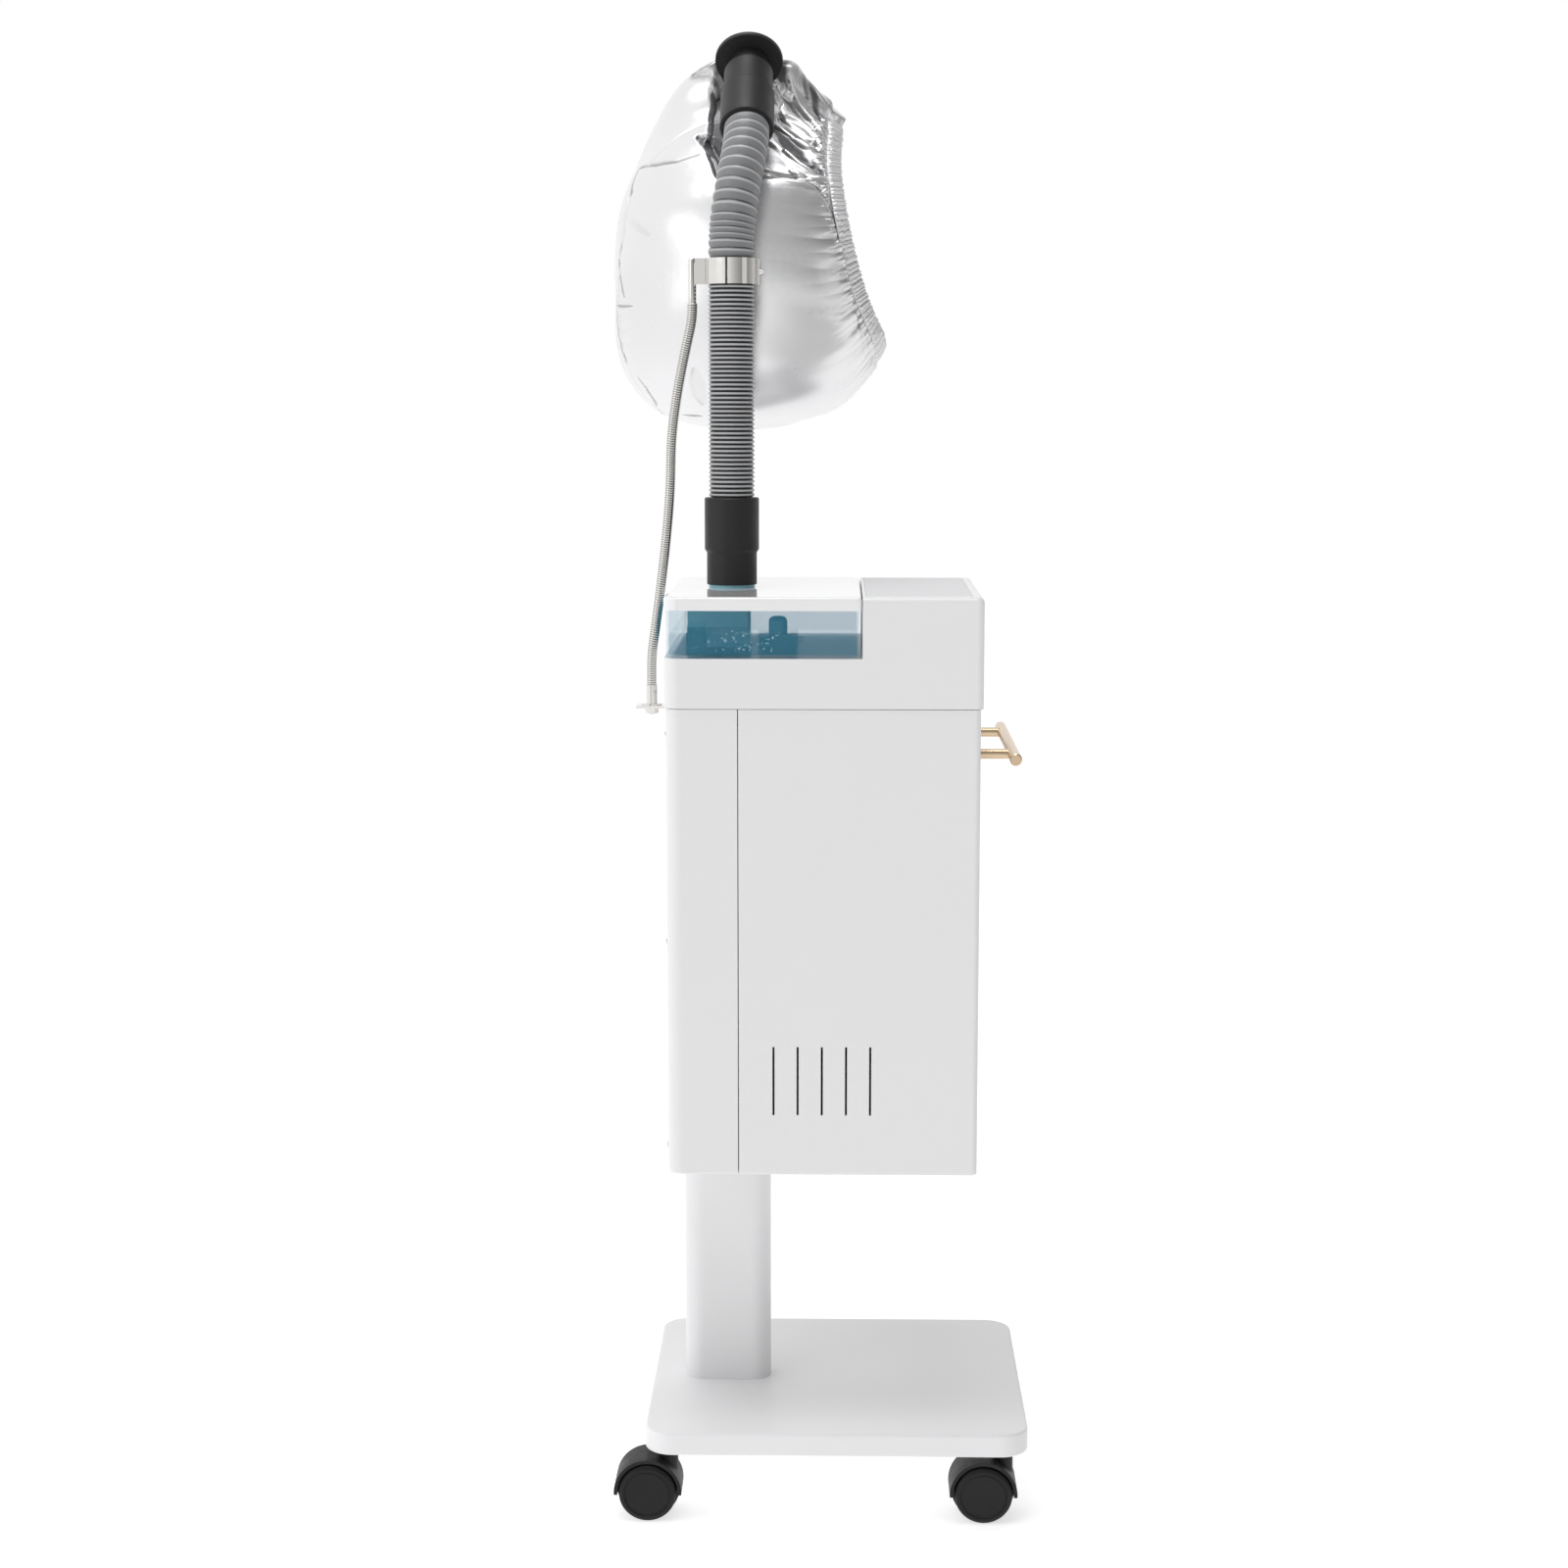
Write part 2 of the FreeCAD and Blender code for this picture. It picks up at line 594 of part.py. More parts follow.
def make_impeller():
    """Squirrel-cage impeller: a back disc, a hub and straight blades around the rim."""
    disc = rod(38, 2, (BLOWER_X, 10, BLOWER_Z), ALONG_Y)
    hub = rod(6, 18, (BLOWER_X, -8, BLOWER_Z), ALONG_Y)
    blades = []
    for i in range(BLADES):
        turn = Rotation(Vector(0, 1, 0), i * 360 / BLADES)
        blade = box((9, 22.2, 1.2), (0, 0, 0))
        start = Vector(BLOWER_X, -12, BLOWER_Z) + turn.multVec(Vector(28, 0, -0.6))
        blade.Placement = Placement(start, turn)
        blades.append(blade)
    bore = rod("blower_shaft + running_gap", 40, (BLOWER_X, -20, BLOWER_Z), ALONG_Y)
    keep(cut(fuse(disc, hub, *blades), bore), "blower_impeller")


def make_rear_fittings():
    """Mains inlet and rocker switch low on the rear cover."""
    body = box((19, 27, 19), ("rear_x - 1", -48.5, 335.5))
    plate = box((2, 32, 24), ("rear_x - 2.1", -51, 333))
    mouth = box((16, 23, 15), ("rear_x - 3", -46.5, 337.5))
    pins = [box((10, 2, 6), ("rear_x + 5", y, 342)) for y in (-43, -36, -29)]
    keep(fuse(cut(fuse(body, plate), mouth), *pins), "mains_inlet")
    shell = box((17, 21, 15), ("rear_x - 1", 29.5, 337.5))
    rim = box((2, 25, 19), ("rear_x - 2.1", 27.5, 335.5))
    room = box((14, 17, 11), ("rear_x - 3", 31.5, 339.5))
    keep(cut(fuse(shell, rim), room), "switch_bezel")
    rocker = cut(
        rod(9, 10.4, ("rear_x + 5.5", 40, 339.8)),
        box((20, 30, 20), ("rear_x + 6.5", 25, 335)),
        box((20, 10, 20), ("rear_x - 8", 24, 335)),
        box((20, 10, 20), ("rear_x - 8", 46.2, 335)),
    )
    keep(rocker, "switch_rocker")


# ---------------------------------------------------------------------------------------------
# Handle
# ---------------------------------------------------------------------------------------------
def make_handle():
    edge = 0.8
    profile = [
        ("0", "0"), (f"bar_radius - {edge}", "0"), ("bar_radius", f"{edge}"),
        ("bar_radius", f"2 * bar_half - {edge}"), (f"bar_radius - {edge}", "2 * bar_half"),
        ("0", "2 * bar_half"),
    ]
    bar = revolved(profile, ("bar_x", "-bar_half", "bar_z"), ALONG_Y)
    seats = [
        rod("post_radius", "bar_x - front_x", ("front_x", f"{s} * post_half", "bar_z"), ALONG_X)
        for s in (-1, 1)
    ]
    keep(cut(bar, *seats), "handle_bar")
    posts = [
        cut(
            rod("post_radius", "bar_x - front_x", ("front_x", f"{s} * post_half", "bar_z"), ALONG_X),
            rod(1.9, 12, ("front_x", f"{s} * post_half", "bar_z"), ALONG_X),
        )
        for s in (-1, 1)
    ]
    keep(group(*posts), "handle_posts")
    screws = []
    for s in (-1, 1):
        place = ("front_x - wall - 2.4", f"{s} * post_half", "bar_z")
        screws.append(fuse(rod(1.9, 15, place, ALONG_X), rod(4.0, 2.4, place, ALONG_X)))
    keep(group(*screws), "handle_screws")


# ---------------------------------------------------------------------------------------------
# Water tank
# ---------------------------------------------------------------------------------------------
FLOAT_X, FLOAT_Y = -52.0, -62.0


def tank_block(inset, height, at_z):
    return slab(
        (f"tank_front - tank_rear - 2 * {inset}", f"2 * tank_half - 2 * {inset}", height),
        ("tank_front / 2 + tank_rear / 2", 0, at_z),
        corners=[(f"rear_corner - {inset}", -1), (f"front_corner - 1 - {inset} / 2", 1)],
    )


def make_tank():
    walls = cut(
        tank_block("0", "tank_top - tank_bottom", "tank_bottom"),
        tank_block("tank_wall", "tank_top - tank_bottom", "tank_bottom + tank_wall"),
    )
    floor = "tank_bottom + tank_wall"
    pedestal = box((32, 26, 12), (FLOAT_X - 16, FLOAT_Y - 13, floor))
    pivot = rod(2.5, 21, (FLOAT_X, FLOAT_Y, floor))
    valve = box((14, 24, 24), (-128.0, -104, floor))
    disc_windows = [rod(8.0, 10, (x, y, "tank_bottom - 3")) for x, y in NEBULISERS]
    inlet = rod(12.5, 10, (PORT_X, 0, "tank_bottom - 3"))
    keep(cut(fuse(walls, pedestal, pivot, valve), *disc_windows, inlet), "water_tank")
    room = cut(
        box((52, 90, 34), (-131, -45, floor)),
        box((36, 86, 40), (-129, -43, "tank_bottom")),
        box((12, 86, 40), (-91, -43, "tank_bottom")),
    )
    keep(room, "mist_chamber")
    dome = revolved(
        [("2.7", "0"), ("7.8", "0"), ("8", "0.4"), ("8", "12"), ("6.6", "14.6"), ("4", "15.8"),
         ("0", "16"), ("0", "11"), ("2.7", "11")],
        (FLOAT_X, FLOAT_Y, "tank_bottom + tank_wall + 12.3"),
    )
    keep(dome, "float")


def make_lid():
    length = "lid_front - cap_rear"
    outer = slab(
        (length, "2 * cap_half", "cap_top - tank_top"),
        ("cap_rear / 2 + lid_front / 2", 0, "tank_top"),
        corners=[("rear_corner + 1", -1), ("front_corner - 2", 1)], lips=[("lid_edge", "top")],
    )
    room = slab(
        (f"{length} - 2 * tank_wall - 3", "2 * cap_half - 2 * tank_wall - 3", "cap_top - tank_top - 3"),
        ("cap_rear / 2 + lid_front / 2", 0, "tank_top"), corners=[("front_corner", 0)],
    )
    mouth = rod("spout_radius + 0.1", 30, ("spout_x", 0, "tank_top"))
    keep(cut(outer, room, mouth), "tank_lid")
    spout = fuse(
        rod("spout_radius", 45, ("spout_x", 0, "tank_top - 1")),
        rod("spout_radius + 4", 2.5, ("spout_x", 0, "cap_top - 5.5")),
    )
    keep(cut(spout, rod("spout_bore", 60, ("spout_x", 0, "tank_top - 5"))), "mist_spout")


# ---------------------------------------------------------------------------------------------
# Cuffs, hose and clip
# ---------------------------------------------------------------------------------------------
MOUTH = Vector(-82.0, 50.0, 1202.0)
CUFF_TILT = 46.0
CUFF_AXIS = Vector(0, math.sin(math.radians(CUFF_TILT)), math.cos(math.radians(CUFF_TILT)))
CUFF_TURN = Rotation(Vector(0, 0, 1), CUFF_AXIS)


def cuff_profile(narrow_first):
    """Stepped sleeve with a lip at each end, wider where the hose screws in."""
    narrow, wide, bore = "cuff_narrow", "cuff_wide", "cuff_bore"
    total = "cuff_narrow_length + cuff_wide_length"
    if narrow_first:
        step = "cuff_narrow_length"
        return [
            (bore, "0"), (f"{narrow} - 0.5", "0"), (narrow, "0.5"), (narrow, f"{step} - 3"),
            (wide, step), (wide, f"{total} - 0.8"), (f"{wide} - 0.8", total), (bore, total),
        ]
    step = "cuff_wide_length"
    return [
        (bore, "0"), (f"{wide} - 0.8", "0"), (wide, "0.8"), (wide, step), (narrow, f"{step} + 3"),
        (narrow, f"{total} - 0.5"), (f"{narrow} - 0.5", total), (bore, total),
    ]


def on_cuff_axis(distance):
    return MOUTH + CUFF_AXIS * distance


def make_hose():
    keep(revolved(cuff_profile(True), ("spout_x", 0, "cuff_bottom")), "lower_cuff")
    keep(revolved(cuff_profile(False), tuple(MOUTH), CUFF_TURN), "upper_cuff")
    x = SIZES["spout_x"]
    route = rounded_route(
        [(x, 0, 838.0), (x, 0, 1108.0), (-88.0, 14.0, 1150.0), tuple(on_cuff_axis(-10.0)),
         tuple(on_cuff_axis(16.0))]
    )
    walls = swept(route, SIZES["hose_radius"]).cut(swept(route, SIZES["hose_bore"]))
    keep(freeform(walls), "steam_hose")


def make_clip():
    height = "clip_top - clip_bottom"
    ring = rod("hose_radius + clip_gap + clip_band", height, ("spout_x", 0, "clip_bottom"))
    arm = box(("spout_x - sleeve_x - 21.5", 5, height), ("sleeve_x", -2.5, "clip_bottom"))
    lug = box((9, 8, height), ("spout_x + 15", 16, "clip_bottom"))
    hole = rod("hose_radius + clip_gap", 40, ("spout_x", 0, "clip_bottom - 5"))
    sleeve_hole = rod(3.5, 40, ("sleeve_x", 0, "clip_bottom - 5"))
    screw_hole = rod(1.6, 30, ("spout_x + 10", 20.6, "clip_bottom / 2 + clip_top / 2"), ALONG_X)
    keep(cut(fuse(ring, arm, lug), hole, sleeve_hole, screw_hole), "hose_clip")
    shank = rod(1.5, 12, ("spout_x + 15.5", 20.6, "clip_bottom / 2 + clip_top / 2"), ALONG_X)
    head = rod(3.0, 1.8, ("spout_x + 24", 20.6, "clip_bottom / 2 + clip_top / 2"), ALONG_X)
    keep(fuse(shank, head), "clip_screw")


# ---------------------------------------------------------------------------------------------
# Gooseneck
# ---------------------------------------------------------------------------------------------
def make_gooseneck():
    """Flexible metal arm from the bracket on the rear cover up to the hose clip."""
    top = 1050.0
    foot_x, head_x = SIZES["goose_x"], SIZES["sleeve_x"]
    route = rounded_route(
        [(foot_x, 0, 716.0), (foot_x, 0, 742.0), (-158.5, 0, 790.0), (-152.4, 0, 838.0),
         (-147.8, 0, 888.0), (-147.0, 0, 934.0), (-141.0, 0, 976.0), (-133.6, 0, 1012.0),
         (head_x, 0, 1036.0), (head_x, 0, top)]
    )
    arm = freeform(swept(route, SIZES["goose_radius"]))
    keep(fuse(arm, rod(3.5, f"clip_top - {top}", ("sleeve_x", 0, top))), "gooseneck")
    plate = box((33, 24, 2.4), ("rear_x - 33", -12, "bracket_z - 1.2"))
    leg = box((2.4, 24, 22), ("rear_x - 2.4", -12, "bracket_z - 21"))
    stud_hole = rod(3.2, 10, ("goose_x", 0, "bracket_z - 5"))
    screw_holes = [rod(2.1, 10, ("rear_x - 6", y, "bracket_z - 12"), ALONG_X) for y in (-7, 7)]
    keep(cut(fuse(plate, leg), stud_hole, *screw_holes), "gooseneck_bracket")
    screws = []
    for y in (-7, 7):
        shank = rod(2.0, 12, ("rear_x - 3", y, "bracket_z - 12"), ALONG_X)
        head = rod(3.5, 2, ("rear_x - 4.4", y, "bracket_z - 12"), ALONG_X)
        screws.append(fuse(shank, head))
    keep(group(*screws), "bracket_screws")
    body = fuse(
        rod(4.9, 16.8, ("goose_x", 0, "bracket_z + 2.2")),
        rod(9.0, 1.0, ("goose_x", 0, "bracket_z + 1.2")),
        rod(3.0, 10, ("goose_x", 0, "bracket_z - 7")),
    )
    keep(body, "gooseneck_ferrule")
    nut = doc.addObject("Part::Prism", "nut")
    bind(nut, Polygon=6, Circumradius=6.0, Height=5.0)
    move(nut, ("goose_x", 0, "bracket_z - 6.2"))
    keep(cut(nut, rod(3.0, 20, ("goose_x", 0, "bracket_z - 15"))), "gooseneck_nut")


# ---------------------------------------------------------------------------------------------
# Hood
# ---------------------------------------------------------------------------------------------
# Level sections of the soft hood: height, then rear, front, near and far limits.
HOOD_SECTIONS = [
    (940, -118, -42, 120, 200),
    (951, -163, -14, 84, 236),
    (973, -188, 20, 58, 260),
    (1010, -204, 46, 43, 276),
    (1070, -209, 70, 38, 282),
    (1130, -203, 72, 44, 280),
    (1182, -187, 50, 78, 266),
    (1224, -168, 6, 124, 240),
    (1256, -145, -38, 131, 188),
    (1276, -114, -55, 112, 152),
    (1289, -97, -69, 101, 116),
]
RIM_TOP = Vector(1.0, 160.0, 1219.0)
RIM_BOTTOM = Vector(43.0, 160.0, 1018.0)
# The bag is sewn from panels that meet at these planes; the first and last lie outside it.
PANELS_X = (-300, -75, 300)
PANELS_Y = (-100, 160, 400)
PANELS_Z = (900, 1045, 1150, 1205, 1350)


def hood_solid(inset):
    """Egg-shaped bag lofted through level ellipses, smaller by the inset all round."""
    rings = []
    last = len(HOOD_SECTIONS) - 1
    for i, (level, rear, front, near, far) in enumerate(HOOD_SECTIONS):
        half_x, half_y = (front - rear) / 2 - inset, (far - near) / 2 - inset
        level += inset if i == 0 else -inset if i == last else 0
        centre = Vector((front + rear) / 2, (near + far) / 2, level)
        curve = Part.Ellipse(centre, max(half_x, half_y), min(half_x, half_y))
        edge = curve.toShape()
        if half_y > half_x:
            edge.rotate(centre, Vector(0, 0, 1), 90)
        rings.append(Part.Wire(edge))
    return Part.makeLoft(rings, True, False)


def rim_plane_box(offset):
    """Everything behind the hood's mouth plane, moved inwards by the offset."""
    up = (RIM_TOP - RIM_BOTTOM).normalize()
    outward = up.cross(Vector(0, 1, 0)).normalize()
    outward = outward if outward.x > 0 else outward * -1
    block = Part.makeBox(600, 600, 600, Vector(-600, -300, -300))
    block.Placement = Placement(RIM_BOTTOM - outward * offset, Rotation(Vector(1, 0, 0), outward))
    return block


def make_hood():
    outer = hood_solid(0.0)
    thin = outer.cut(hood_solid(SIZES["fabric"]))
    thick = outer.cut(hood_solid(SIZES["rim_fabric"]))
    reach = SIZES["cuff_narrow_length"] + SIZES["cuff_wide_length"] + SIZES["neck_length"]
    seat = on_cuff_axis(reach)
    under = seat + CUFF_AXIS * SIZES["flange_thick"]
    behind = under + CUFF_AXIS * SIZES["fabric"]
    disc = Part.makeCylinder(SIZES["clamp_radius"] + 2, SIZES["fabric"], under, CUFF_AXIS)
    clear = Part.makeCylinder(SIZES["flange_radius"] + 0.5, reach, under, CUFF_AXIS * -1)
    ring_room = Part.makeCylinder(SIZES["clamp_radius"] + 0.5, 6, behind, CUFF_AXIS)
    bore = Part.makeCylinder(16.0, 60, seat, CUFF_AXIS)
    shell = thin.common(rim_plane_box(SIZES["rim_width"]))
    shell = shell.fuse(disc).cut(clear).cut(ring_room).cut(bore)
    shell = shell.cut(Part.makeCylinder(16.0, 80, behind, CUFF_AXIS))
    keep(freeform(sewn_panels(largest(shell))), "hood_shell")
    rim = thick.common(rim_plane_box(0.0)).cut(rim_plane_box(SIZES["rim_width"]))
    keep(freeform(largest(rim)), "hood_rim")
    spigot = "cuff_bore - 0.3"
    profile = [
        ("16", "0"), (spigot, "0"), (spigot, "18"), ("neck_radius", "20"),
        ("neck_radius", "18 + neck_length"), ("flange_radius - 0.6", "18 + neck_length"),
        ("flange_radius", "18.6 + neck_length"), ("flange_radius", "18 + neck_length + flange_thick"),
        ("16", "18 + neck_length + flange_thick"),
    ]
    start = on_cuff_axis(reach - SIZES["neck_length"] - 18)
    keep(revolved(profile, tuple(start), CUFF_TURN), "hood_flange")
    ring = [
        ("16", "0"), ("clamp_radius", "0"), ("clamp_radius", "2"), ("clamp_radius - 1", "3"), ("16", "3"),
    ]
    keep(revolved(ring, tuple(behind), CUFF_TURN), "hood_clamp_ring")


def largest(shape):
    return max(shape.Solids, key=lambda solid: solid.Volume)


def sewn_panels(bag):
    """The bag cut into its panels, which meet edge to edge."""
    panels = []
    for x, next_x in zip(PANELS_X, PANELS_X[1:]):
        for y, next_y in zip(PANELS_Y, PANELS_Y[1:]):
            for z, next_z in zip(PANELS_Z, PANELS_Z[1:]):
                block = Part.makeBox(next_x - x, next_y - y, next_z - z, Vector(x, y, z))
                panels += bag.common(block).Solids
    assert abs(sum(panel.Volume for panel in panels) - bag.Volume) < 0.001 * bag.Volume
    return Part.makeCompound(panels)


# ---------------------------------------------------------------------------------------------
# Build, test and write
# ---------------------------------------------------------------------------------------------
make_base()
make_column()
make_casters()
make_cabinet()
make_upper_housing()
make_mist_works()
make_rear_fittings()
make_handle()
make_tank()
make_lid()
make_hose()
make_clip()
make_gooseneck()
make_hood()
doc.recompute()

for item in doc.Objects:
    assert not {"Invalid", "Error"} & set(item.State), (item.Name, item.Label, item.State)
for part in parts:
    assert not part.Shape.isNull() and part.Shape.isValid(), part.Label
    assert part.Shape.Volume > 0, part.Label

os.makedirs("parts", exist_ok=True)
for part in parts:
    part.Shape.exportStep(f"parts/{part.Label}.step")
print(len(parts), "pieces written")
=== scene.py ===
import json
import math

import bpy
import numpy as np
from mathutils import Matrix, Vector
from mathutils.bvhtree import BVHTree


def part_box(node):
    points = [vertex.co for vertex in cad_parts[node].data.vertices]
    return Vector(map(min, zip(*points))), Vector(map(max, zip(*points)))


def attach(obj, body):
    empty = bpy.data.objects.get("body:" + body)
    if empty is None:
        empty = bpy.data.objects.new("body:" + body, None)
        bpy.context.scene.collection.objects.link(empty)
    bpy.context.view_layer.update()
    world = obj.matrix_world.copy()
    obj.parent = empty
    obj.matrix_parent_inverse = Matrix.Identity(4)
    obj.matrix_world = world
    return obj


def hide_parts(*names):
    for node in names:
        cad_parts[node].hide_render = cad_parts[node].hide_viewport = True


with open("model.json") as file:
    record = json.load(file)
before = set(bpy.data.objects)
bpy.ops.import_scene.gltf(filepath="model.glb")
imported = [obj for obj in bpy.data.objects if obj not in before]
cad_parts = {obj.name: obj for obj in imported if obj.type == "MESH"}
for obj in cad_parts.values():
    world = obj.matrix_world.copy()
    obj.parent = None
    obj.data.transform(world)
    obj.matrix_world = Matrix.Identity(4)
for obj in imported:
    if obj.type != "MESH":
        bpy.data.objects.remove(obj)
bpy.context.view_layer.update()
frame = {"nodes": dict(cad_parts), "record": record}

NODES = frame["nodes"]
MM = 0.001
rng = np.random.default_rng(7)

# Where the soft and ribbed pieces run, in millimetres in the row frame.
CUFF_MOUTH = np.array([-82.0, 50.0, 1202.0])
CUFF_AXIS = np.array([0.0, math.sin(math.radians(46)), math.cos(math.radians(46))])
FLANGE_BACK = CUFF_MOUTH + 97.0 * CUFF_AXIS
HOOD_MIDDLE = np.array([-75.0, 160.0, 1108.0])
RIM_TOP = np.array([1.0, 160.0, 1219.0])
RIM_BOTTOM = np.array([43.0, 160.0, 1018.0])


# ------------------------------------------------------------------------------------------
# Shader helpers
# ------------------------------------------------------------------------------------------
def add(tree, kind, **values):
    """A shader node with its settings and unlinked inputs filled in."""
    node = tree.nodes.new("ShaderNode" + kind)
    for key, value in values.items():
        if hasattr(node, key):
            setattr(node, key, value)
        else:
            node.inputs[key.replace("_", " ")].default_value = value
    return node


def place(tree, stretch=(1, 1, 1), source="Object"):
    """Object coordinates in metres, stretched along the axes."""
    coords = add(tree, "TexCoord")
    mapping = add(tree, "Mapping", Scale=stretch)
    tree.links.new(coords.outputs[source], mapping.inputs["Vector"])
    return mapping.outputs["Vector"]


def noise(tree, where, scale, detail=3.0, roughness=0.55):
    """A noise pattern, centred on 0.5."""
    node = add(tree, "TexNoise", Scale=scale, Detail=detail, Roughness=roughness)
    tree.links.new(where, node.inputs["Vector"])
    return node.outputs["Fac"]


def remap(tree, value, low, high, start=0.3, end=0.7):
    """The value's range from start to end, moved to run from low to high."""
    node = add(tree, "MapRange", From_Min=start, From_Max=end, To_Min=low, To_Max=high)
    tree.links.new(value, node.inputs["Value"])
    return node.outputs["Result"]


def blend_colors(tree, factor, first, second):
    """A mix of two plain colours."""
    node = add(tree, "Mix", data_type="RGBA")
    tree.links.new(factor, node.inputs["Factor"])
    node.inputs[6].default_value = (*first, 1)
    node.inputs[7].default_value = (*second, 1)
    return node.outputs[2]


def bump(tree, height, distance, under=None):
    """A normal tilted by a height pattern, on top of another normal if one is given."""
    node = add(tree, "Bump", Strength=1.0, Distance=distance)
    tree.links.new(height, node.inputs["Height"])
    if under is not None:
        tree.links.new(under, node.inputs["Normal"])
    return node.outputs["Normal"]


def with_painted_shade(tree, color, dark):
    """A colour with painted shade: it darkens towards the dark colour where the mesh's shade attribute
    marks a fold, gap or pocket.
    """
    shade = add(tree, "Attribute", attribute_name="shade")
    node = add(tree, "Mix", data_type="RGBA")
    tree.links.new(shade.outputs["Fac"], node.inputs["Factor"])
    tree.links.new(color, node.inputs[6])
    node.inputs[7].default_value = (*dark, 1)
    return node.outputs[2]


def surface(name, color, rough, metal=0.0, vary=0.012, smudge=0.05, grain=700.0, depth=2e-5,
            stretch=(1, 1, 1), broad=None, painted_shade_color=None, **sockets):
    """A material with uneven tone, smudged gloss, a fine grain and a broad unevenness, and painted shade
    from the mesh's shade attribute when a shade colour is given.
    """
    mat = bpy.data.materials.new(name)
    mat.use_nodes = True
    tree = mat.node_tree
    shader = tree.nodes["Principled BSDF"]
    shader.inputs["Metallic"].default_value = metal
    for key, value in sockets.items():
        shader.inputs[key.replace("_", " ")].default_value = value
    where = place(tree, stretch)
    tone = remap(tree, noise(tree, where, 9.0, 4.0), 0.0, 1.0)
    dark = [c * (1 - vary) for c in color]
    light = [min(1.0, c * (1 + vary)) for c in color]
    mixed = blend_colors(tree, tone, dark, light)
    # Painted shade: the colour darkens where the mesh's shade attribute marks folds and gaps.
    if painted_shade_color:
        mixed = with_painted_shade(tree, mixed, painted_shade_color)
    tree.links.new(mixed, shader.inputs["Base Color"])
    gloss = remap(tree, noise(tree, where, 38.0, 5.0, 0.65), max(0.02, rough - smudge), rough + smudge)
    tree.links.new(gloss, shader.inputs["Roughness"])
    normal = bump(tree, noise(tree, where, grain, 2.0), depth)
    if broad:
        normal = bump(tree, noise(tree, where, broad[0], 1.0), broad[1], under=normal)
    tree.links.new(normal, shader.inputs["Normal"])
    return mat


def satin(name, rough, metal):
    """Metallised satin: soft sheen, fine crossed threads, faint creasing and painted shade in its folds."""
    # The near black shade colour is painted shade, laid into folds, puckers, seams and pockets by the
    # mesh's shade attribute.
    mat = surface(name, (0.80, 0.80, 0.81), rough, metal, smudge=0.03, grain=420.0, depth=4e-6,
                  broad=(16.0, 1.6e-4), painted_shade_color=(0.05, 0.05, 0.055))
    tree = mat.node_tree
    shader = tree.nodes["Principled BSDF"]
    shader.inputs["Sheen Weight"].default_value = 0.15
    under = shader.inputs["Normal"].links[0].from_socket
    threads = place(tree, source="UV")
    weave = add(tree, "TexWave", Scale=1.0, Distortion=0.4, bands_direction="X")
    tree.links.new(threads, weave.inputs["Vector"])
    cross = add(tree, "TexWave", Scale=1.0, Distortion=0.4, bands_direction="Y")
    tree.links.new(threads, cross.inputs["Vector"])
    both = add(tree, "Math", operation="ADD")
    tree.links.new(weave.outputs["Fac"], both.inputs[0])
    tree.links.new(cross.outputs["Fac"], both.inputs[1])
    tree.links.new(bump(tree, both.outputs[0], 6e-6, under=under), shader.inputs["Normal"])
    return mat


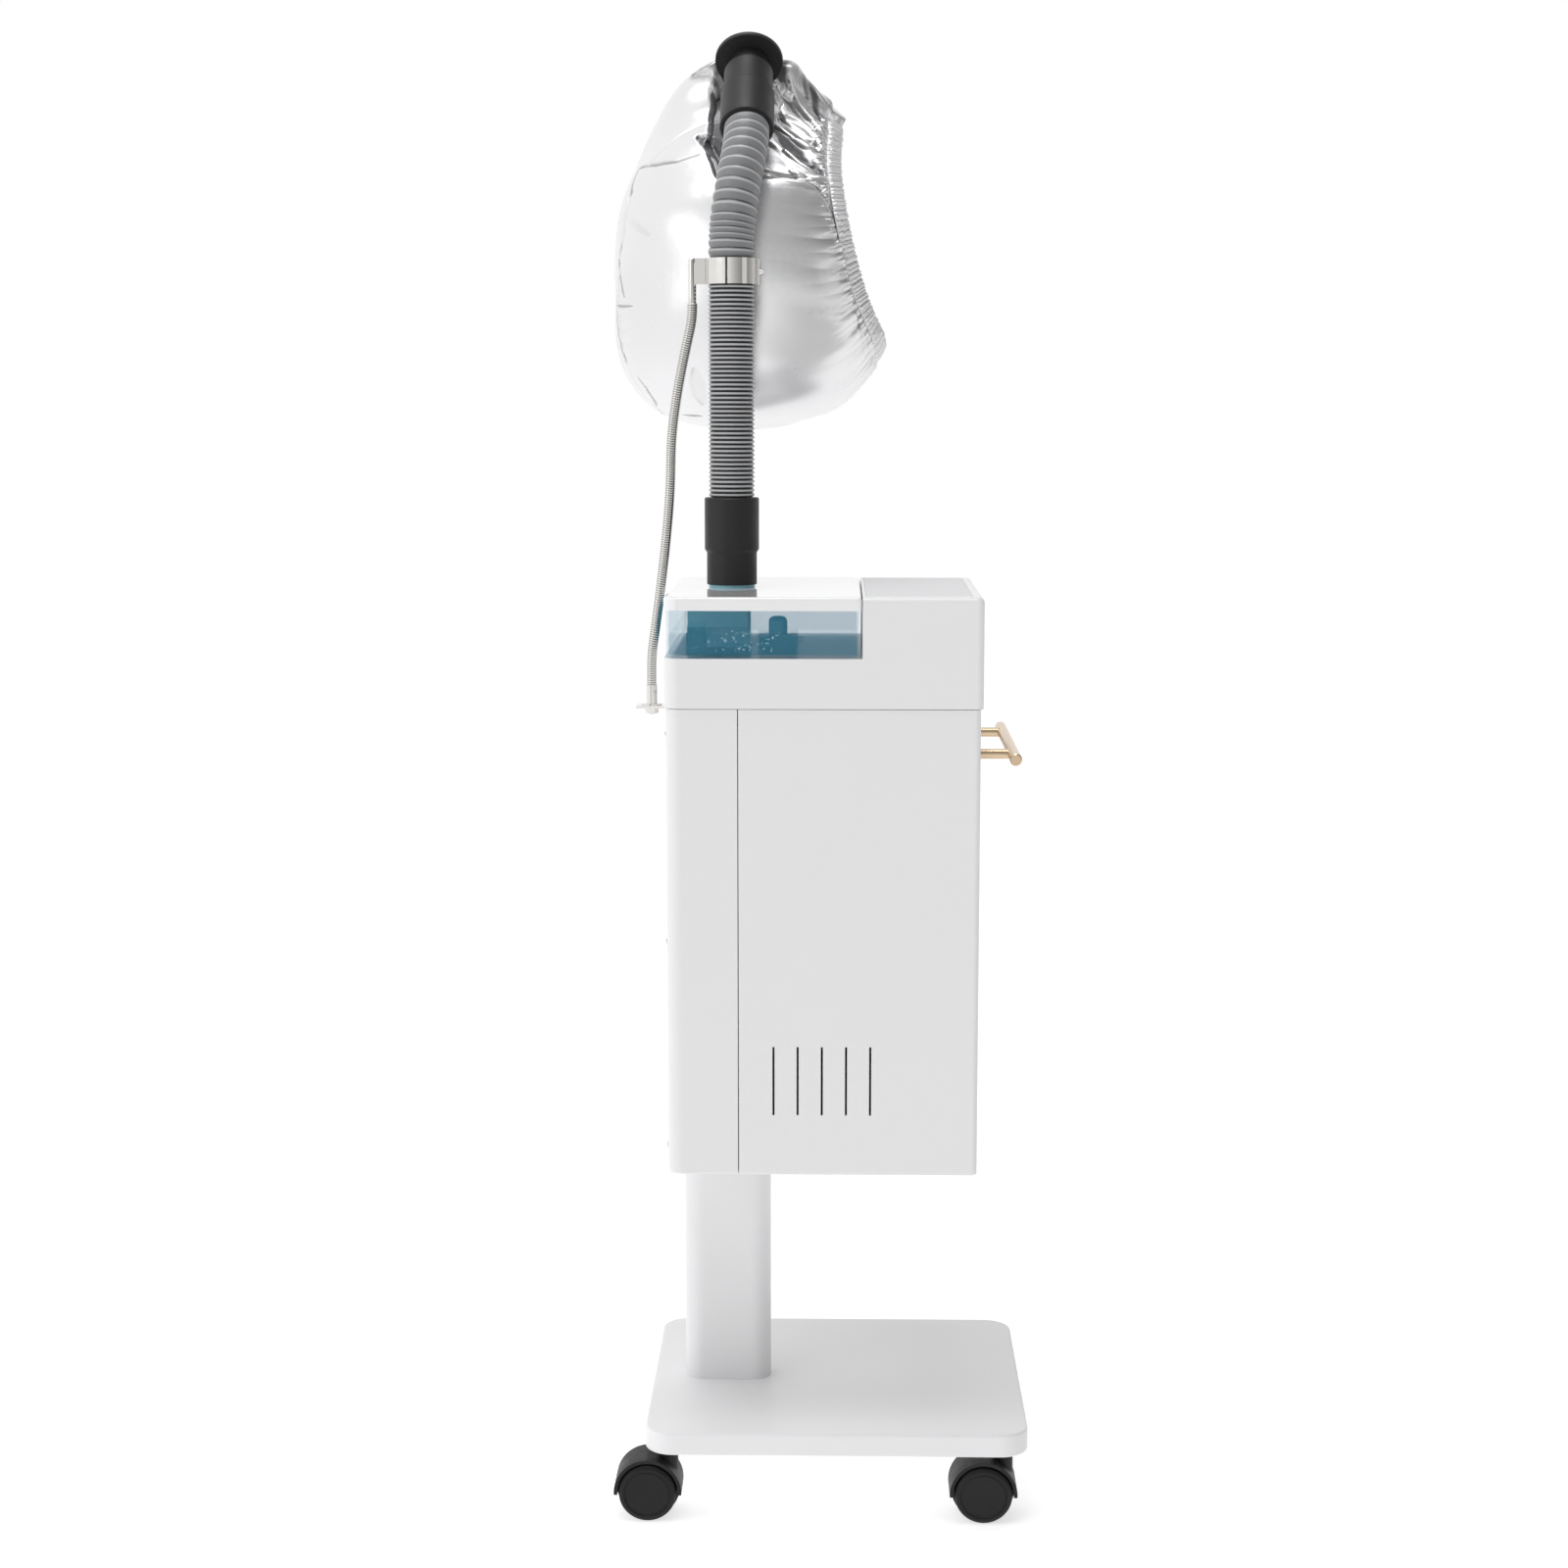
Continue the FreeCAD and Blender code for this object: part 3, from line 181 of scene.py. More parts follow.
FINISHES = {
    "white_panel": lambda: surface(
        "powder_white", (0.79, 0.79, 0.80), 0.40, vary=0.004, smudge=0.02, grain=1500.0, depth=3e-5,
        broad=(260.0, 5e-5), Coat_Weight=0.12, Coat_Roughness=0.3),
    "white_base": lambda: surface(
        "base_white", (0.84, 0.84, 0.85), 0.42, vary=0.004, smudge=0.02, broad=(12.0, 4e-5),
        Coat_Weight=0.1, Coat_Roughness=0.25),
    "cabinet_white": lambda: surface(
        "cabinet_white", (0.80, 0.80, 0.80), 0.34, vary=0.004, smudge=0.02, grain=1300.0, depth=3e-5,
        broad=(180.0, 3e-5), Coat_Weight=0.15, Coat_Roughness=0.25),
    "white_plastic": lambda: surface(
        "housing_white", (0.80, 0.80, 0.80), 0.30, vary=0.004, smudge=0.02, grain=1300.0, depth=3e-5,
        broad=(180.0, 3e-5), Coat_Weight=0.20, Coat_Roughness=0.20),
    "lid_white": lambda: surface(
        "lid_white", (0.84, 0.84, 0.85), 0.10, vary=0.004, smudge=0.02, broad=(10.0, 4e-5),
        Coat_Weight=0.6, Coat_Roughness=0.04),
    "panel_glass": lambda: surface(
        "panel_grey", (0.60, 0.60, 0.62), 0.30, vary=0.004, smudge=0.01, depth=5e-6,
        Coat_Weight=0.1, Coat_Roughness=0.2),
    "tank_blue": lambda: surface(
        "tank_blue", (0.05, 0.34, 0.52), 0.09, smudge=0.04, broad=(45.0, 8e-5), Alpha=0.19,
        Coat_Weight=0.3, Coat_Roughness=0.05),
    "mist_blue": lambda: surface("mist_blue", (0.22, 0.50, 0.58), 0.22, vary=0.06, broad=(70.0, 6e-5)),
    "float_blue": lambda: surface("float_blue", (0.05, 0.26, 0.38), 0.25, vary=0.06, broad=(90.0, 4e-5)),
    "cuff_black": lambda: surface(
        "cuff_black", (0.013, 0.013, 0.014), 0.46, vary=0.12, grain=1600.0, depth=4e-5,
        Specular_IOR_Level=0.35),
    "caster_black": lambda: surface(
        "caster_black", (0.012, 0.012, 0.013), 0.50, vary=0.15, smudge=0.08, grain=1900.0, depth=6e-5,
        Specular_IOR_Level=0.3),
    "tread_black": lambda: surface(
        "tread_black", (0.010, 0.010, 0.010), 0.45, vary=0.2, smudge=0.10, grain=800.0, depth=5e-5,
        Specular_IOR_Level=0.25),
    # Painted shade: near black in the gaps between the hose's ribs and on the bodies of the pulled ribs,
    # from the mesh's shade attribute.
    "hose_grey": lambda: surface(
        "hose_grey", (0.44, 0.445, 0.455), 0.36, vary=0.04, smudge=0.06, grain=900.0, depth=3e-5,
        painted_shade_color=(0.012, 0.012, 0.013)),
    # Painted shade: dark in the gaps between the gooseneck's coils, from the mesh's shade attribute.
    "chrome": lambda: surface(
        "chrome", (0.76, 0.745, 0.715), 0.10, 1.0, vary=0.03, smudge=0.04, grain=400.0, depth=4e-6,
        painted_shade_color=(0.05, 0.05, 0.05)),
    "brass": lambda: surface(
        "champagne_brass", (0.66, 0.50, 0.34), 0.24, 1.0, vary=0.05, smudge=0.07, grain=900.0,
        depth=2e-5, stretch=(1, 0.02, 1)),
    "silver_fabric": lambda: satin("silver_satin", 0.25, 0.80),
    "rim_fabric": lambda: satin("hem_satin", 0.40, 0.42),
    "steel": lambda: surface(
        "zinc_steel", (0.62, 0.62, 0.63), 0.30, 1.0, vary=0.08, smudge=0.09, grain=900.0, depth=1e-5),
    "dark_plastic": lambda: surface(
        "dark_moulding", (0.05, 0.05, 0.053), 0.5, vary=0.1, grain=1500.0, depth=5e-5),
    "grey_plastic": lambda: surface(
        "grey_moulding", (0.33, 0.34, 0.35), 0.5, vary=0.05, grain=1300.0, depth=4e-5),
    "board_green": lambda: surface(
        "solder_mask", (0.03, 0.16, 0.07), 0.3, vary=0.2, grain=500.0, depth=3e-5),
    "rocker_black": lambda: surface("rocker_black", (0.03, 0.03, 0.03), 0.2, vary=0.1),
    "water": lambda: surface(
        "water", (0.05, 0.36, 0.52), 0.03, vary=0.03, smudge=0.01, grain=60.0, depth=3e-4,
        broad=(22.0, 8e-4), Alpha=0.10),
    "droplets": lambda: surface(
        "droplets", (0.75, 0.92, 1.0), 0.03, smudge=0.01, Alpha=0.45, Coat_Weight=0.8,
        Coat_Roughness=0.02),
}
made = {}


def finish(slot):
    """The slot's material, made the first time that it is asked for."""
    if slot not in made:
        made[slot] = FINISHES[slot]()
    return made[slot]


def dress_nodes():
    """Every carried-over CAD node gets its own slot's finish."""
    for row in frame["record"]["subparts"]:
        mesh = NODES[row["node"]].data
        mesh.materials.clear()
        mesh.materials.append(finish(row["material_slot"]))


# ------------------------------------------------------------------------------------------
# Mesh helpers
# ------------------------------------------------------------------------------------------
def add_mesh(name, points, faces, body, slot, smooth=True, uv=None, shade=None):
    """A mesh piece from points in millimetres, riding on a body."""
    mesh = bpy.data.meshes.new(name)
    mesh.from_pydata((np.asarray(points) * MM).tolist(), [], faces)
    mesh.polygons.foreach_set("use_smooth", [smooth] * len(mesh.polygons))
    if uv is not None:
        layer = mesh.uv_layers.new(name="threads")
        corners = np.zeros(len(mesh.loops), int)
        mesh.loops.foreach_get("vertex_index", corners)
        layer.data.foreach_set("uv", uv[corners].astype(np.float32).ravel())
    # The shade attribute holds painted shade, which darkens the material's colour in folds and gaps.
    if shade is not None:
        painted_shade_layer = mesh.attributes.new("shade", "FLOAT", "POINT")
        painted_shade_layer.data.foreach_set("value", np.clip(shade, 0, 1).astype(np.float32).ravel())
    mesh.materials.append(finish(slot))
    mesh.update()
    piece = bpy.data.objects.new(name, mesh)
    bpy.context.scene.collection.objects.link(piece)
    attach(piece, body)
    return piece


def grid_faces(rows, columns, closed):
    """Quads over rows x columns points, the columns joined round if closed."""
    last = columns if closed else columns - 1
    faces = []
    for i in range(rows - 1):
        for j in range(last):
            k = (j + 1) % columns
            faces.append((i * columns + j, i * columns + k, (i + 1) * columns + k, (i + 1) * columns + j))
    return faces


def resampled(line, step):
    """The line with evenly spaced points, and each point's distance along it."""
    along = np.concatenate([[0], np.cumsum(np.linalg.norm(np.diff(line, axis=0), axis=1))])
    at = np.linspace(0, along[-1], int(along[-1] / step) + 1)
    return np.stack([np.interp(at, along, line[:, k]) for k in range(3)], axis=1), at


def carried_frames(line):
    """Two directions across a line at each point, carried along it without twisting."""
    tangent = np.gradient(line, axis=0)
    tangent /= np.linalg.norm(tangent, axis=1)[:, None]
    first = np.zeros_like(line)
    side = np.cross(tangent[0], [0.0, 1.0, 0.0])
    for i, t in enumerate(tangent):
        side = side - (side @ t) * t
        side /= np.linalg.norm(side)
        first[i] = side
    return tangent, first, np.cross(tangent, first)


def tube(name, line, radii, body, slot, around=56, shade=None):
    """A tube along a line whose radius, and painted shade if it has one, is given at each of its points."""
    _, first, second = carried_frames(line)
    turn = np.linspace(0, 2 * math.pi, around, endpoint=False)
    ring = np.cos(turn)[None, :, None] * first[:, None] + np.sin(turn)[None, :, None] * second[:, None]
    points = line[:, None] + ring * radii[:, None, None]
    faces = grid_faces(len(line), around, True)
    faces.append(tuple(range(around))[::-1])
    faces.append(tuple((len(line) - 1) * around + j for j in range(around)))
    shade = None if shade is None else np.repeat(shade, around)
    return add_mesh(name, points.reshape(-1, 3), faces, body, slot, shade=shade)


def bezier(a, b, c, d, count):
    """Points on a cubic curve from a to d."""
    t = np.linspace(0, 1, count)[:, None]
    return (1 - t) ** 3 * a + 3 * (1 - t) ** 2 * t * b + 3 * (1 - t) * t ** 2 * c + t ** 3 * d


def smoothstep(value, start, end):
    """0 before start, 1 after end, and an eased rise between them."""
    t = np.clip((value - start) / (end - start), 0, 1)
    return t * t * (3 - 2 * t)


def wander(values, period, seed):
    """Smooth irregular numbers between -1 and 1 that change over about a period."""
    rates = np.random.default_rng(seed).uniform(0.6, 1.6, (5, 1))
    starts = np.random.default_rng(seed + 1).uniform(0, 6.28, (5, 1))
    flat = np.asarray(values).ravel()[None, :]
    total = np.sin(flat * 6.283 / period * rates + starts).sum(axis=0) / 3.2
    return total.reshape(np.shape(values))


# ------------------------------------------------------------------------------------------
# Steam hose
# ------------------------------------------------------------------------------------------
HOSE_X, HOSE_FOOT, CLIP_TOP = -94.0, 838.0, 1087.7
HOSE_STEP = 0.42
RIB_PITCH, PULLED_PITCH = 3.82, 9.5
SLACK_RIBS = [7.4, 7.2, 4.6, 4.4, 4.8, 6.6]
CLOSE_RADIUS, PULLED_RADIUS = 18.3, 20.1


def hose_line():
    """The middle of the hose: upright to the clip, then bent over to the upper cuff."""
    foot = np.array([HOSE_X, 0.0, HOSE_FOOT])
    clip = np.array([HOSE_X, 0.0, CLIP_TOP + 1.0])
    end = CUFF_MOUTH + 14 * CUFF_AXIS
    bend = bezier(clip, clip + [0, 0, 52.0], CUFF_MOUTH - 46 * CUFF_AXIS, CUFF_MOUTH - 4 * CUFF_AXIS, 120)
    return resampled(np.vstack([foot, bend, end]), HOSE_STEP)


def ribs(at):
    """Radius and painted shade: close ribs up to the clip, a few slack ones above it, then pulled-out ones.
    """
    split = CLIP_TOP - HOSE_FOOT
    close = 0.5 + 0.5 * np.cos(2 * math.pi * at / RIB_PITCH)
    radii = CLOSE_RADIUS + 1.9 * close ** 0.7
    edges = [split + 1.0]
    for step in SLACK_RIBS:
        edges.append(edges[-1] + step)
    while edges[-1] < at[-1] + 12:
        edges.append(edges[-1] + PULLED_PITCH + 0.5 * math.sin(3.1 * len(edges)))
    edges = np.array(edges)
    above = at >= edges[0]
    cell = np.clip(np.searchsorted(edges, at, side="right") - 1, 0, len(edges) - 2)
    length = edges[cell + 1] - edges[cell]
    share = (at - edges[cell]) / length
    crest = np.where(share < 0.72, share / 0.72, (1 - share) / 0.28)
    depth = np.where(length > 7.0, 1.9, 1.7)
    rise = np.sin(np.clip(crest, 0, 1) * math.pi / 2)
    pulled = PULLED_RADIUS - depth * (1 - rise ** 0.9)
    # Painted shade: the pulled ribs' bodies are darkened, darker still just past each crest, so the crests
    # stay light as painted highlight lines; the close ribs are darkened in the gaps between them.
    body = 0.55 * (1 - smoothstep(crest, 0.72, 0.95)) + 0.35 * (share > 0.86)
    painted_gap_shade = 1 - smoothstep(close, 0.25, 0.8)
    return np.where(above, pulled, radii), np.where(above, body, painted_gap_shade)


def make_hose():
    """The ribbed hose, in place of its plain CAD tube."""
    line, at = hose_line()
    radii, shade = ribs(at)
    hose = tube("steam_hose_ribbed", line, radii, "hose_arm", "hose_grey", 72, shade)
    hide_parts("steam_hose")


# ------------------------------------------------------------------------------------------
# Gooseneck
# ------------------------------------------------------------------------------------------
def midline(node, low, high, count):
    """The middle of an upright tube at each level, from the CAD node's own points."""
    mesh = NODES[node].data
    mesh.calc_loop_triangles()
    corners = np.array([[mesh.vertices[i].co[:] for i in t.vertices] for t in mesh.loop_triangles]) / MM
    line = []
    for level in np.linspace(low, high, count):
        found = []
        for a, b in ((0, 1), (1, 2), (2, 0)):
            p, q = corners[:, a], corners[:, b]
            crossing = (p[:, 2] - level) * (q[:, 2] - level) < 0
            p, q = p[crossing], q[crossing]
            share = (level - p[:, 2]) / (q[:, 2] - p[:, 2])
            found.append(p + share[:, None] * (q - p))
        found = np.vstack(found)
        line.append((found.min(axis=0) + found.max(axis=0)) / 2)
    return np.array(line)


def eased(line, times):
    """The line with its corners rounded by averaging neighbours."""
    for _ in range(times):
        line[1:-1] = (line[:-2] + 2 * line[1:-1] + line[2:]) / 4
    return line


GOOSENECK_STEP, COIL_PITCH, SLEEVE_FOOT = 0.26, 2.05, 1049.0


def make_gooseneck():
    """The coiled arm, and the plain sleeve on its upper end."""
    low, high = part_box("gooseneck")
    bottom, top = low.z / MM, high.z / MM
    route = eased(midline("gooseneck", bottom + 1, SLEEVE_FOOT, 90), 4)
    route[0, 2] = bottom
    line, at = resampled(route, GOOSENECK_STEP)
    coil = np.abs(np.sin(math.pi * at / COIL_PITCH))
    radii = 4.05 + 0.35 * coil ** 0.6
    # Painted shade in the gaps between the coils.
    painted_coil_shade = 0.04 + 0.8 * (1 - coil) ** 1.3
    arm = tube("gooseneck_coil", line, radii, "cabinet", "chrome", 28, painted_coil_shade)
    foot = line[-1]
    sleeve_top = np.array([foot[0], foot[1], top])
    sleeve = np.array([foot - [0, 0, 1.0], foot, foot + [0, 0, 1], sleeve_top - [0, 0, 1], sleeve_top])
    sleeve_radii = np.array([3.3, 3.45, 3.45, 3.45, 3.0])
    tube("gooseneck_sleeve", sleeve, sleeve_radii, "cabinet", "chrome", 32)
    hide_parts("gooseneck")


# ------------------------------------------------------------------------------------------
# Water in the tank
# ------------------------------------------------------------------------------------------
WATER_LEVEL = 771.0
TANK_WALL = 2.5
# Footprints that stand in the water: the float's pedestal and the valve.
PEDESTAL = (-69.2, -76.2, -34.8, -47.8)
VALVE = (-129.2, -105.2, -112.8, -78.8)


def add_tank_piece(name, points, faces, look, smooth=True):
    """A mesh in the tank whose slot is the tank's own and whose material is another."""
    piece = add_mesh(name, points, faces, "tank", "tank_blue", smooth=smooth)
    piece.data.materials.clear()
    piece.data.materials.append(finish(look))


def make_water():
    """The water, cut round the mist chamber, the float and its pedestal, and the valve."""
    low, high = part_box("water_tank")
    inset = TANK_WALL + 0.7
    floor = low.z / MM + inset
    inside = [low.x / MM + inset, low.y / MM + inset, high.x / MM - inset, high.y / MM - inset]
    near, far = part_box("mist_chamber")
    holes = [(near.x / MM - 1, near.y / MM - 1, far.x / MM + 1, far.y / MM + 1), PEDESTAL, VALVE]
    xs = sorted({inside[0], inside[2], *(h[0] for h in holes), *(h[2] for h in holes)})
    ys = sorted({inside[1], inside[3], *(h[1] for h in holes), *(h[3] for h in holes)})

    def is_dry(i, j):
        x, y = (xs[i] + xs[i + 1]) / 2, (ys[j] + ys[j + 1]) / 2
        return any(h[0] <= x <= h[2] and h[1] <= y <= h[3] for h in holes)

    wet = {(i, j) for i in range(len(xs) - 1) for j in range(len(ys) - 1) if not is_dry(i, j)}
    count = len(xs) * len(ys)
    points = [(x, y, z) for z in (floor, WATER_LEVEL) for x in xs for y in ys]

    def at(i, j, k):
        return k * count + i * len(ys) + j

    faces = []
    for i, j in sorted(wet):
        faces.append((at(i, j, 1), at(i + 1, j, 1), at(i + 1, j + 1, 1), at(i, j + 1, 1)))
        faces.append((at(i, j, 0), at(i, j + 1, 0), at(i + 1, j + 1, 0), at(i + 1, j, 0)))
        sides = {(i - 1, j): ((i, j + 1), (i, j)), (i + 1, j): ((i + 1, j), (i + 1, j + 1)),
                 (i, j - 1): ((i, j), (i + 1, j)), (i, j + 1): ((i + 1, j + 1), (i, j + 1))}
        for beyond, ((a, b), (c, d)) in sides.items():
            if beyond not in wet:
                faces.append((at(a, b, 0), at(c, d, 0), at(c, d, 1), at(a, b, 1)))
    add_tank_piece("tank_water", points, faces, "water", smooth=False)


BEADS, BEAD_RINGS, BEAD_SIDES = 80, 4, 10


def make_droplets():
    """Bubbles of air on the inside of the tank's near wall."""
    low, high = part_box("water_tank")
    wall = low.y / MM + TANK_WALL + 0.05
    middle = (low.x + high.x) / 2 / MM
    spots = [(middle + rng.normal(-12, 22), rng.uniform(757, 775), rng.gamma(2.0, 0.2) + 0.25)
             for _ in range(BEADS)]
    points, faces = [], []
    for x, z, radius in spots:
        base = len(points)
        for ring in range(BEAD_RINGS):
            tilt = ring / 3.6 * math.pi / 2
            across = radius * math.cos(tilt)
            for k in range(BEAD_SIDES):
                turn = 2 * math.pi * k / BEAD_SIDES
                sag = 0.25 * across if math.sin(turn) < 0 else 0
                points.append((x + across * math.cos(turn), wall + 0.5 * radius * math.sin(tilt),
                               z + across * math.sin(turn) - sag))
        for face in grid_faces(BEAD_RINGS, BEAD_SIDES, True):
            faces.append(tuple(base + i for i in face))
        faces.append(tuple(base + (BEAD_RINGS - 1) * BEAD_SIDES + k for k in range(BEAD_SIDES)))
        faces.append(tuple(base + k for k in range(BEAD_SIDES))[::-1])
    add_tank_piece("tank_droplets", points, faces, "droplets")


# ------------------------------------------------------------------------------------------
# Hood
# ------------------------------------------------------------------------------------------
HEM_WIDTH = 20.0
CUFF_ROOM, FLANGE_ROOM = (25.6, 0.4, -99.0), (31.4, 0.4, -5.0)
HANGER_RADIUS = 19.0
SEAM_MIDDLE, SEAM_APART = 160.0, 37.0
FLAP_CORNER = np.array([-46.0, 150.0, 1270.0])
FLAP_EDGE = [(-62, 168, 1284), (-40, 168, 1262), (-24, 168, 1240), (-4, 168, 1216)]
UP = (RIM_TOP - RIM_BOTTOM) / np.linalg.norm(RIM_TOP - RIM_BOTTOM)
OUT = np.cross([0.0, 1.0, 0.0], UP) * (1 if np.cross([0.0, 1.0, 0.0], UP)[0] > 0 else -1)
NEAR = np.array([0.0, -1.0, 0.0])
LOBE_EDGE = np.array([[-110, 1176], [-70, 1161], [-49, 1162], [-32, 1158.5], [-21.6, 1153], [-13, 1140],
                      [-6, 1125], [-2, 1108]], float)

# Folds on the near side, from the flange to the rim: lift, painted shade in the fold, half width, and a
# line in X and Z.
VALLEYS = [
    (-2.6, 0.95, 7.0, [(-60, 1278), (-54, 1261), (-49, 1243)]),
    (-1.6, 0.70, 5.0, [(-50, 1268), (-42, 1249), (-33, 1236)]),
    (-2.4, 0.85, 2.6, [(-50, 1278), (-32, 1244), (-25, 1229), (-16, 1215)]),
    (-2.4, 0.66, 4.6, [(-61, 1248), (-44, 1234), (-36, 1221), (-18, 1202)]),
    (-2.4, 0.66, 7.5, [(-54, 1218), (-38, 1206), (-23, 1192)]),
    (-3.0, 0.88, 7.5, [(-65, 1214), (-40, 1188), (-16, 1165)]),
    (-1.4, 0.50, 12.0, [(-74, 1196), (-58, 1178), (-42, 1164)]),
    (-1.6, 0.55, 2.4, [(-76, 1171), (-50, 1164.5), (-30, 1161), (-16, 1150)]),
    # The last valleys are painted shadow: the dark pocket where the fabric tucks behind the cuff, and the
    # dark wedge and grey band beside the flange.
    (-4.5, 0.92, 11.0, [(-106, 1285), (-107, 1245), (-110, 1218), (-112, 1196), (-106, 1180)]),
    (-3.5, 0.88, 9.0, [(-127, 1200), (-116, 1195), (-104, 1185)]),
    (-3.0, 0.88, 9.0, [(-119, 1198), (-110, 1180), (-105, 1160)]),
    (-1.8, 0.90, 2.8, [(-135, 1260), (-124, 1271), (-112, 1285)]),
    (-1.5, 0.45, 4.0, [(-136, 1257), (-120, 1258), (-110, 1250)]),
]
RIDGES = [
    (1.6, 2.4, [(-46, 1262), (-40, 1246), (-32, 1230)]),
    (3.2, 3.4, [(-54, 1278), (-46, 1253), (-39, 1235), (-28, 1219), (-18, 1203)]),
    (1.6, 5.0, [(-57, 1252), (-51, 1244), (-45, 1237)]),
    (3.4, 6.5, [(-60, 1244), (-50, 1222), (-36, 1210), (-22, 1198), (-17, 1188)]),
    (2.2, 2.8, [(-44, 1198), (-33, 1191), (-22, 1185)]),
    (2.4, 2.8, [(-50, 1187), (-36, 1176), (-21, 1166)]),
    (1.5, 2.8, [(-44, 1169), (-30, 1160), (-19, 1155)]),
    (1.5, 3.0, [(-130, 1262), (-120, 1266), (-111, 1272)]),
]
# Seams and pinches: depth, painted shade in the crease, half width, and a line on the bag.
SEAMS = [
    (0.9, 0.55, 2.0, [(-184, 139, 1175), (-189, 123, 1149), (-198, 121, 1114), (-203, 129, 1094)]),
    (1.2, 0.65, 2.2, [(-203, 129, 1094), (-200, 116, 1074), (-196, 109, 1058)]),
    (0.8, 0.50, 1.9, [(-206, 132, 1062), (-204, 130, 1044), (-202, 128, 1022), (-195, 124, 998)]),
    (1.2, 0.65, 2.2, [(-183, 108, 987), (-175, 105, 977), (-168, 110, 966), (-162, 143, 951)]),
    (1.4, 0.70, 2.4, [(-141, 101, 953), (-133, 97, 952), (-125, 92, 952)]),
    (1.6, 0.50, 2.4, [(-184, 139, 1175), (-166, 113, 1176), (-147, 98, 1179), (-127, 92, 1184)]),
    (1.0, 0.08, 7.0, [(-190, 120, 1130), (-180, 98, 1120), (-170, 80, 1112)]),
    (1.2, 0.06, 11.0, [(-129, 58, 992), (-126, 64, 977), (-122, 74, 962)]),
    (1.2, 0.45, 1.8, [(-205, 128, 1051), (-197, 110, 1050), (-189, 97, 1050)]),
]


def hood_tree():
    """The CAD bag and rim, ready for rays."""
    corners, faces = [], []
    for node in ("hood_shell", "hood_rim"):
        mesh = NODES[node].data
        base = len(corners)
        corners += [v.co / MM for v in mesh.vertices]
        faces += [tuple(base + i for i in p.vertices) for p in mesh.polygons]
    return BVHTree.FromPolygons(corners, faces)


def outline(tree, origin, direction):
    """Where a line from far outside first meets the hood on its way in to origin."""
    start = origin + direction * 500
    spot = tree.ray_cast(Vector(start), Vector(-direction))[0]
    return None if spot is None else np.array(spot)


def cuff_room(origin, directions, radius, back, front):
    """How far each line runs from origin before it meets the room kept for the cuff or flange.

    The room is a cylinder about the cuff's axis, between two levels from the flange's back.
    """
    start = origin - FLANGE_BACK
    along = directions @ CUFF_AXIS
    level = start @ CUFF_AXIS
    across = directions - along[..., None] * CUFF_AXIS
    off = start - level * CUFF_AXIS
    a = (across ** 2).sum(-1)
    b = 2 * (across * off).sum(-1)
    c = off @ off - radius ** 2
    inside = b * b - 4 * a * c
    root = np.sqrt(np.maximum(inside, 0))
    enter, leave = (-b - root) / (2 * a), (-b + root) / (2 * a)
    ends = np.sort(np.stack([(back - level) / along, (front - level) / along]), axis=0)
    first, last = np.maximum(enter, ends[0]), np.minimum(leave, ends[1])
    return np.where((inside > 0) & (first < last) & (first > 0), first, np.inf)


def blurred(values, size):
    """Values over rows x columns, evened out; columns join round."""
    kernel = np.exp(-0.5 * (np.arange(-3 * size, 3 * size + 1) / size) ** 2)
    kernel /= kernel.sum()
    wide = np.concatenate([values[:, -3 * size:], values, values[:, :3 * size]], axis=1)
    rows = np.apply_along_axis(lambda v: np.convolve(v, kernel, "valid"), 1, wide)
    tall = np.concatenate([np.repeat(rows[:1], 3 * size, 0), rows, np.repeat(rows[-1:], 3 * size, 0)])
    return np.apply_along_axis(lambda v: np.convolve(v, kernel, "valid"), 0, tall)


def normals_of(points):
    """Outward normals of a grid of points whose columns join round."""
    down = np.gradient(points, axis=0)
    round_it = np.roll(points, -1, axis=1) - np.roll(points, 1, axis=1)
    normal = np.cross(round_it, down)
    normal /= np.maximum(np.linalg.norm(normal, axis=2), 1e-9)[..., None]
    outward = (normal * (points - HOOD_MIDDLE)).sum(axis=2).mean()
    return normal if outward > 0 else -normal


def rim_line(tree, turns):
    """The edge of the mouth, one point for each turn about its middle."""
    centre = HOOD_MIDDLE + ((RIM_TOP - HOOD_MIDDLE) @ OUT - 1.0) * OUT
    spots = [outline(tree, centre, np.cos(t) * UP + np.sin(t) * NEAR) for t in turns]
    return np.array(spots)


def hood_surface(columns, rows):
    """Points of the plain bag, from the rim (row 0) to the back, and the distance from the rim."""
    tree = hood_tree()
    turns = np.linspace(0, 2 * math.pi, columns, endpoint=False)
    rim = rim_line(tree, turns)
    lean = np.arccos(((rim - HOOD_MIDDLE) @ OUT) / np.linalg.norm(rim - HOOD_MIDDLE, axis=1))
    share = np.linspace(0, 1, rows)[:, None]
    polar = lean[None, :] + (math.pi - 0.012 - lean[None, :]) * share
    spoke = np.cos(turns)[:, None] * UP + np.sin(turns)[:, None] * NEAR
    directions = np.cos(polar)[..., None] * OUT + np.sin(polar)[..., None] * spoke[None]
    reach = np.zeros((rows, columns))
    for i in range(rows):
        for j in range(columns):
            spot = outline(tree, HOOD_MIDDLE, directions[i, j])
            reach[i, j] = 0 if spot is None else np.linalg.norm(spot - HOOD_MIDDLE)
    cuff = cuff_room(HOOD_MIDDLE, directions, *CUFF_ROOM)
    flange = cuff_room(HOOD_MIDDLE, directions, *FLANGE_ROOM)
    reach = np.where(np.isfinite(flange), flange, reach)
    plain = np.minimum(reach, cuff)
    smooth = plain
    for _ in range(3):
        smooth = np.minimum(blurred(smooth, 3), plain)
    points = HOOD_MIDDLE + directions * smooth[..., None]
    steps = np.linalg.norm(np.diff(points, axis=0), axis=2)
    away = np.concatenate([np.zeros((1, columns)), np.cumsum(steps, axis=0)])
    around = np.concatenate([[0], np.cumsum(np.linalg.norm(np.diff(rim, axis=0), axis=1))])
    return points, away, np.broadcast_to(around, away.shape)


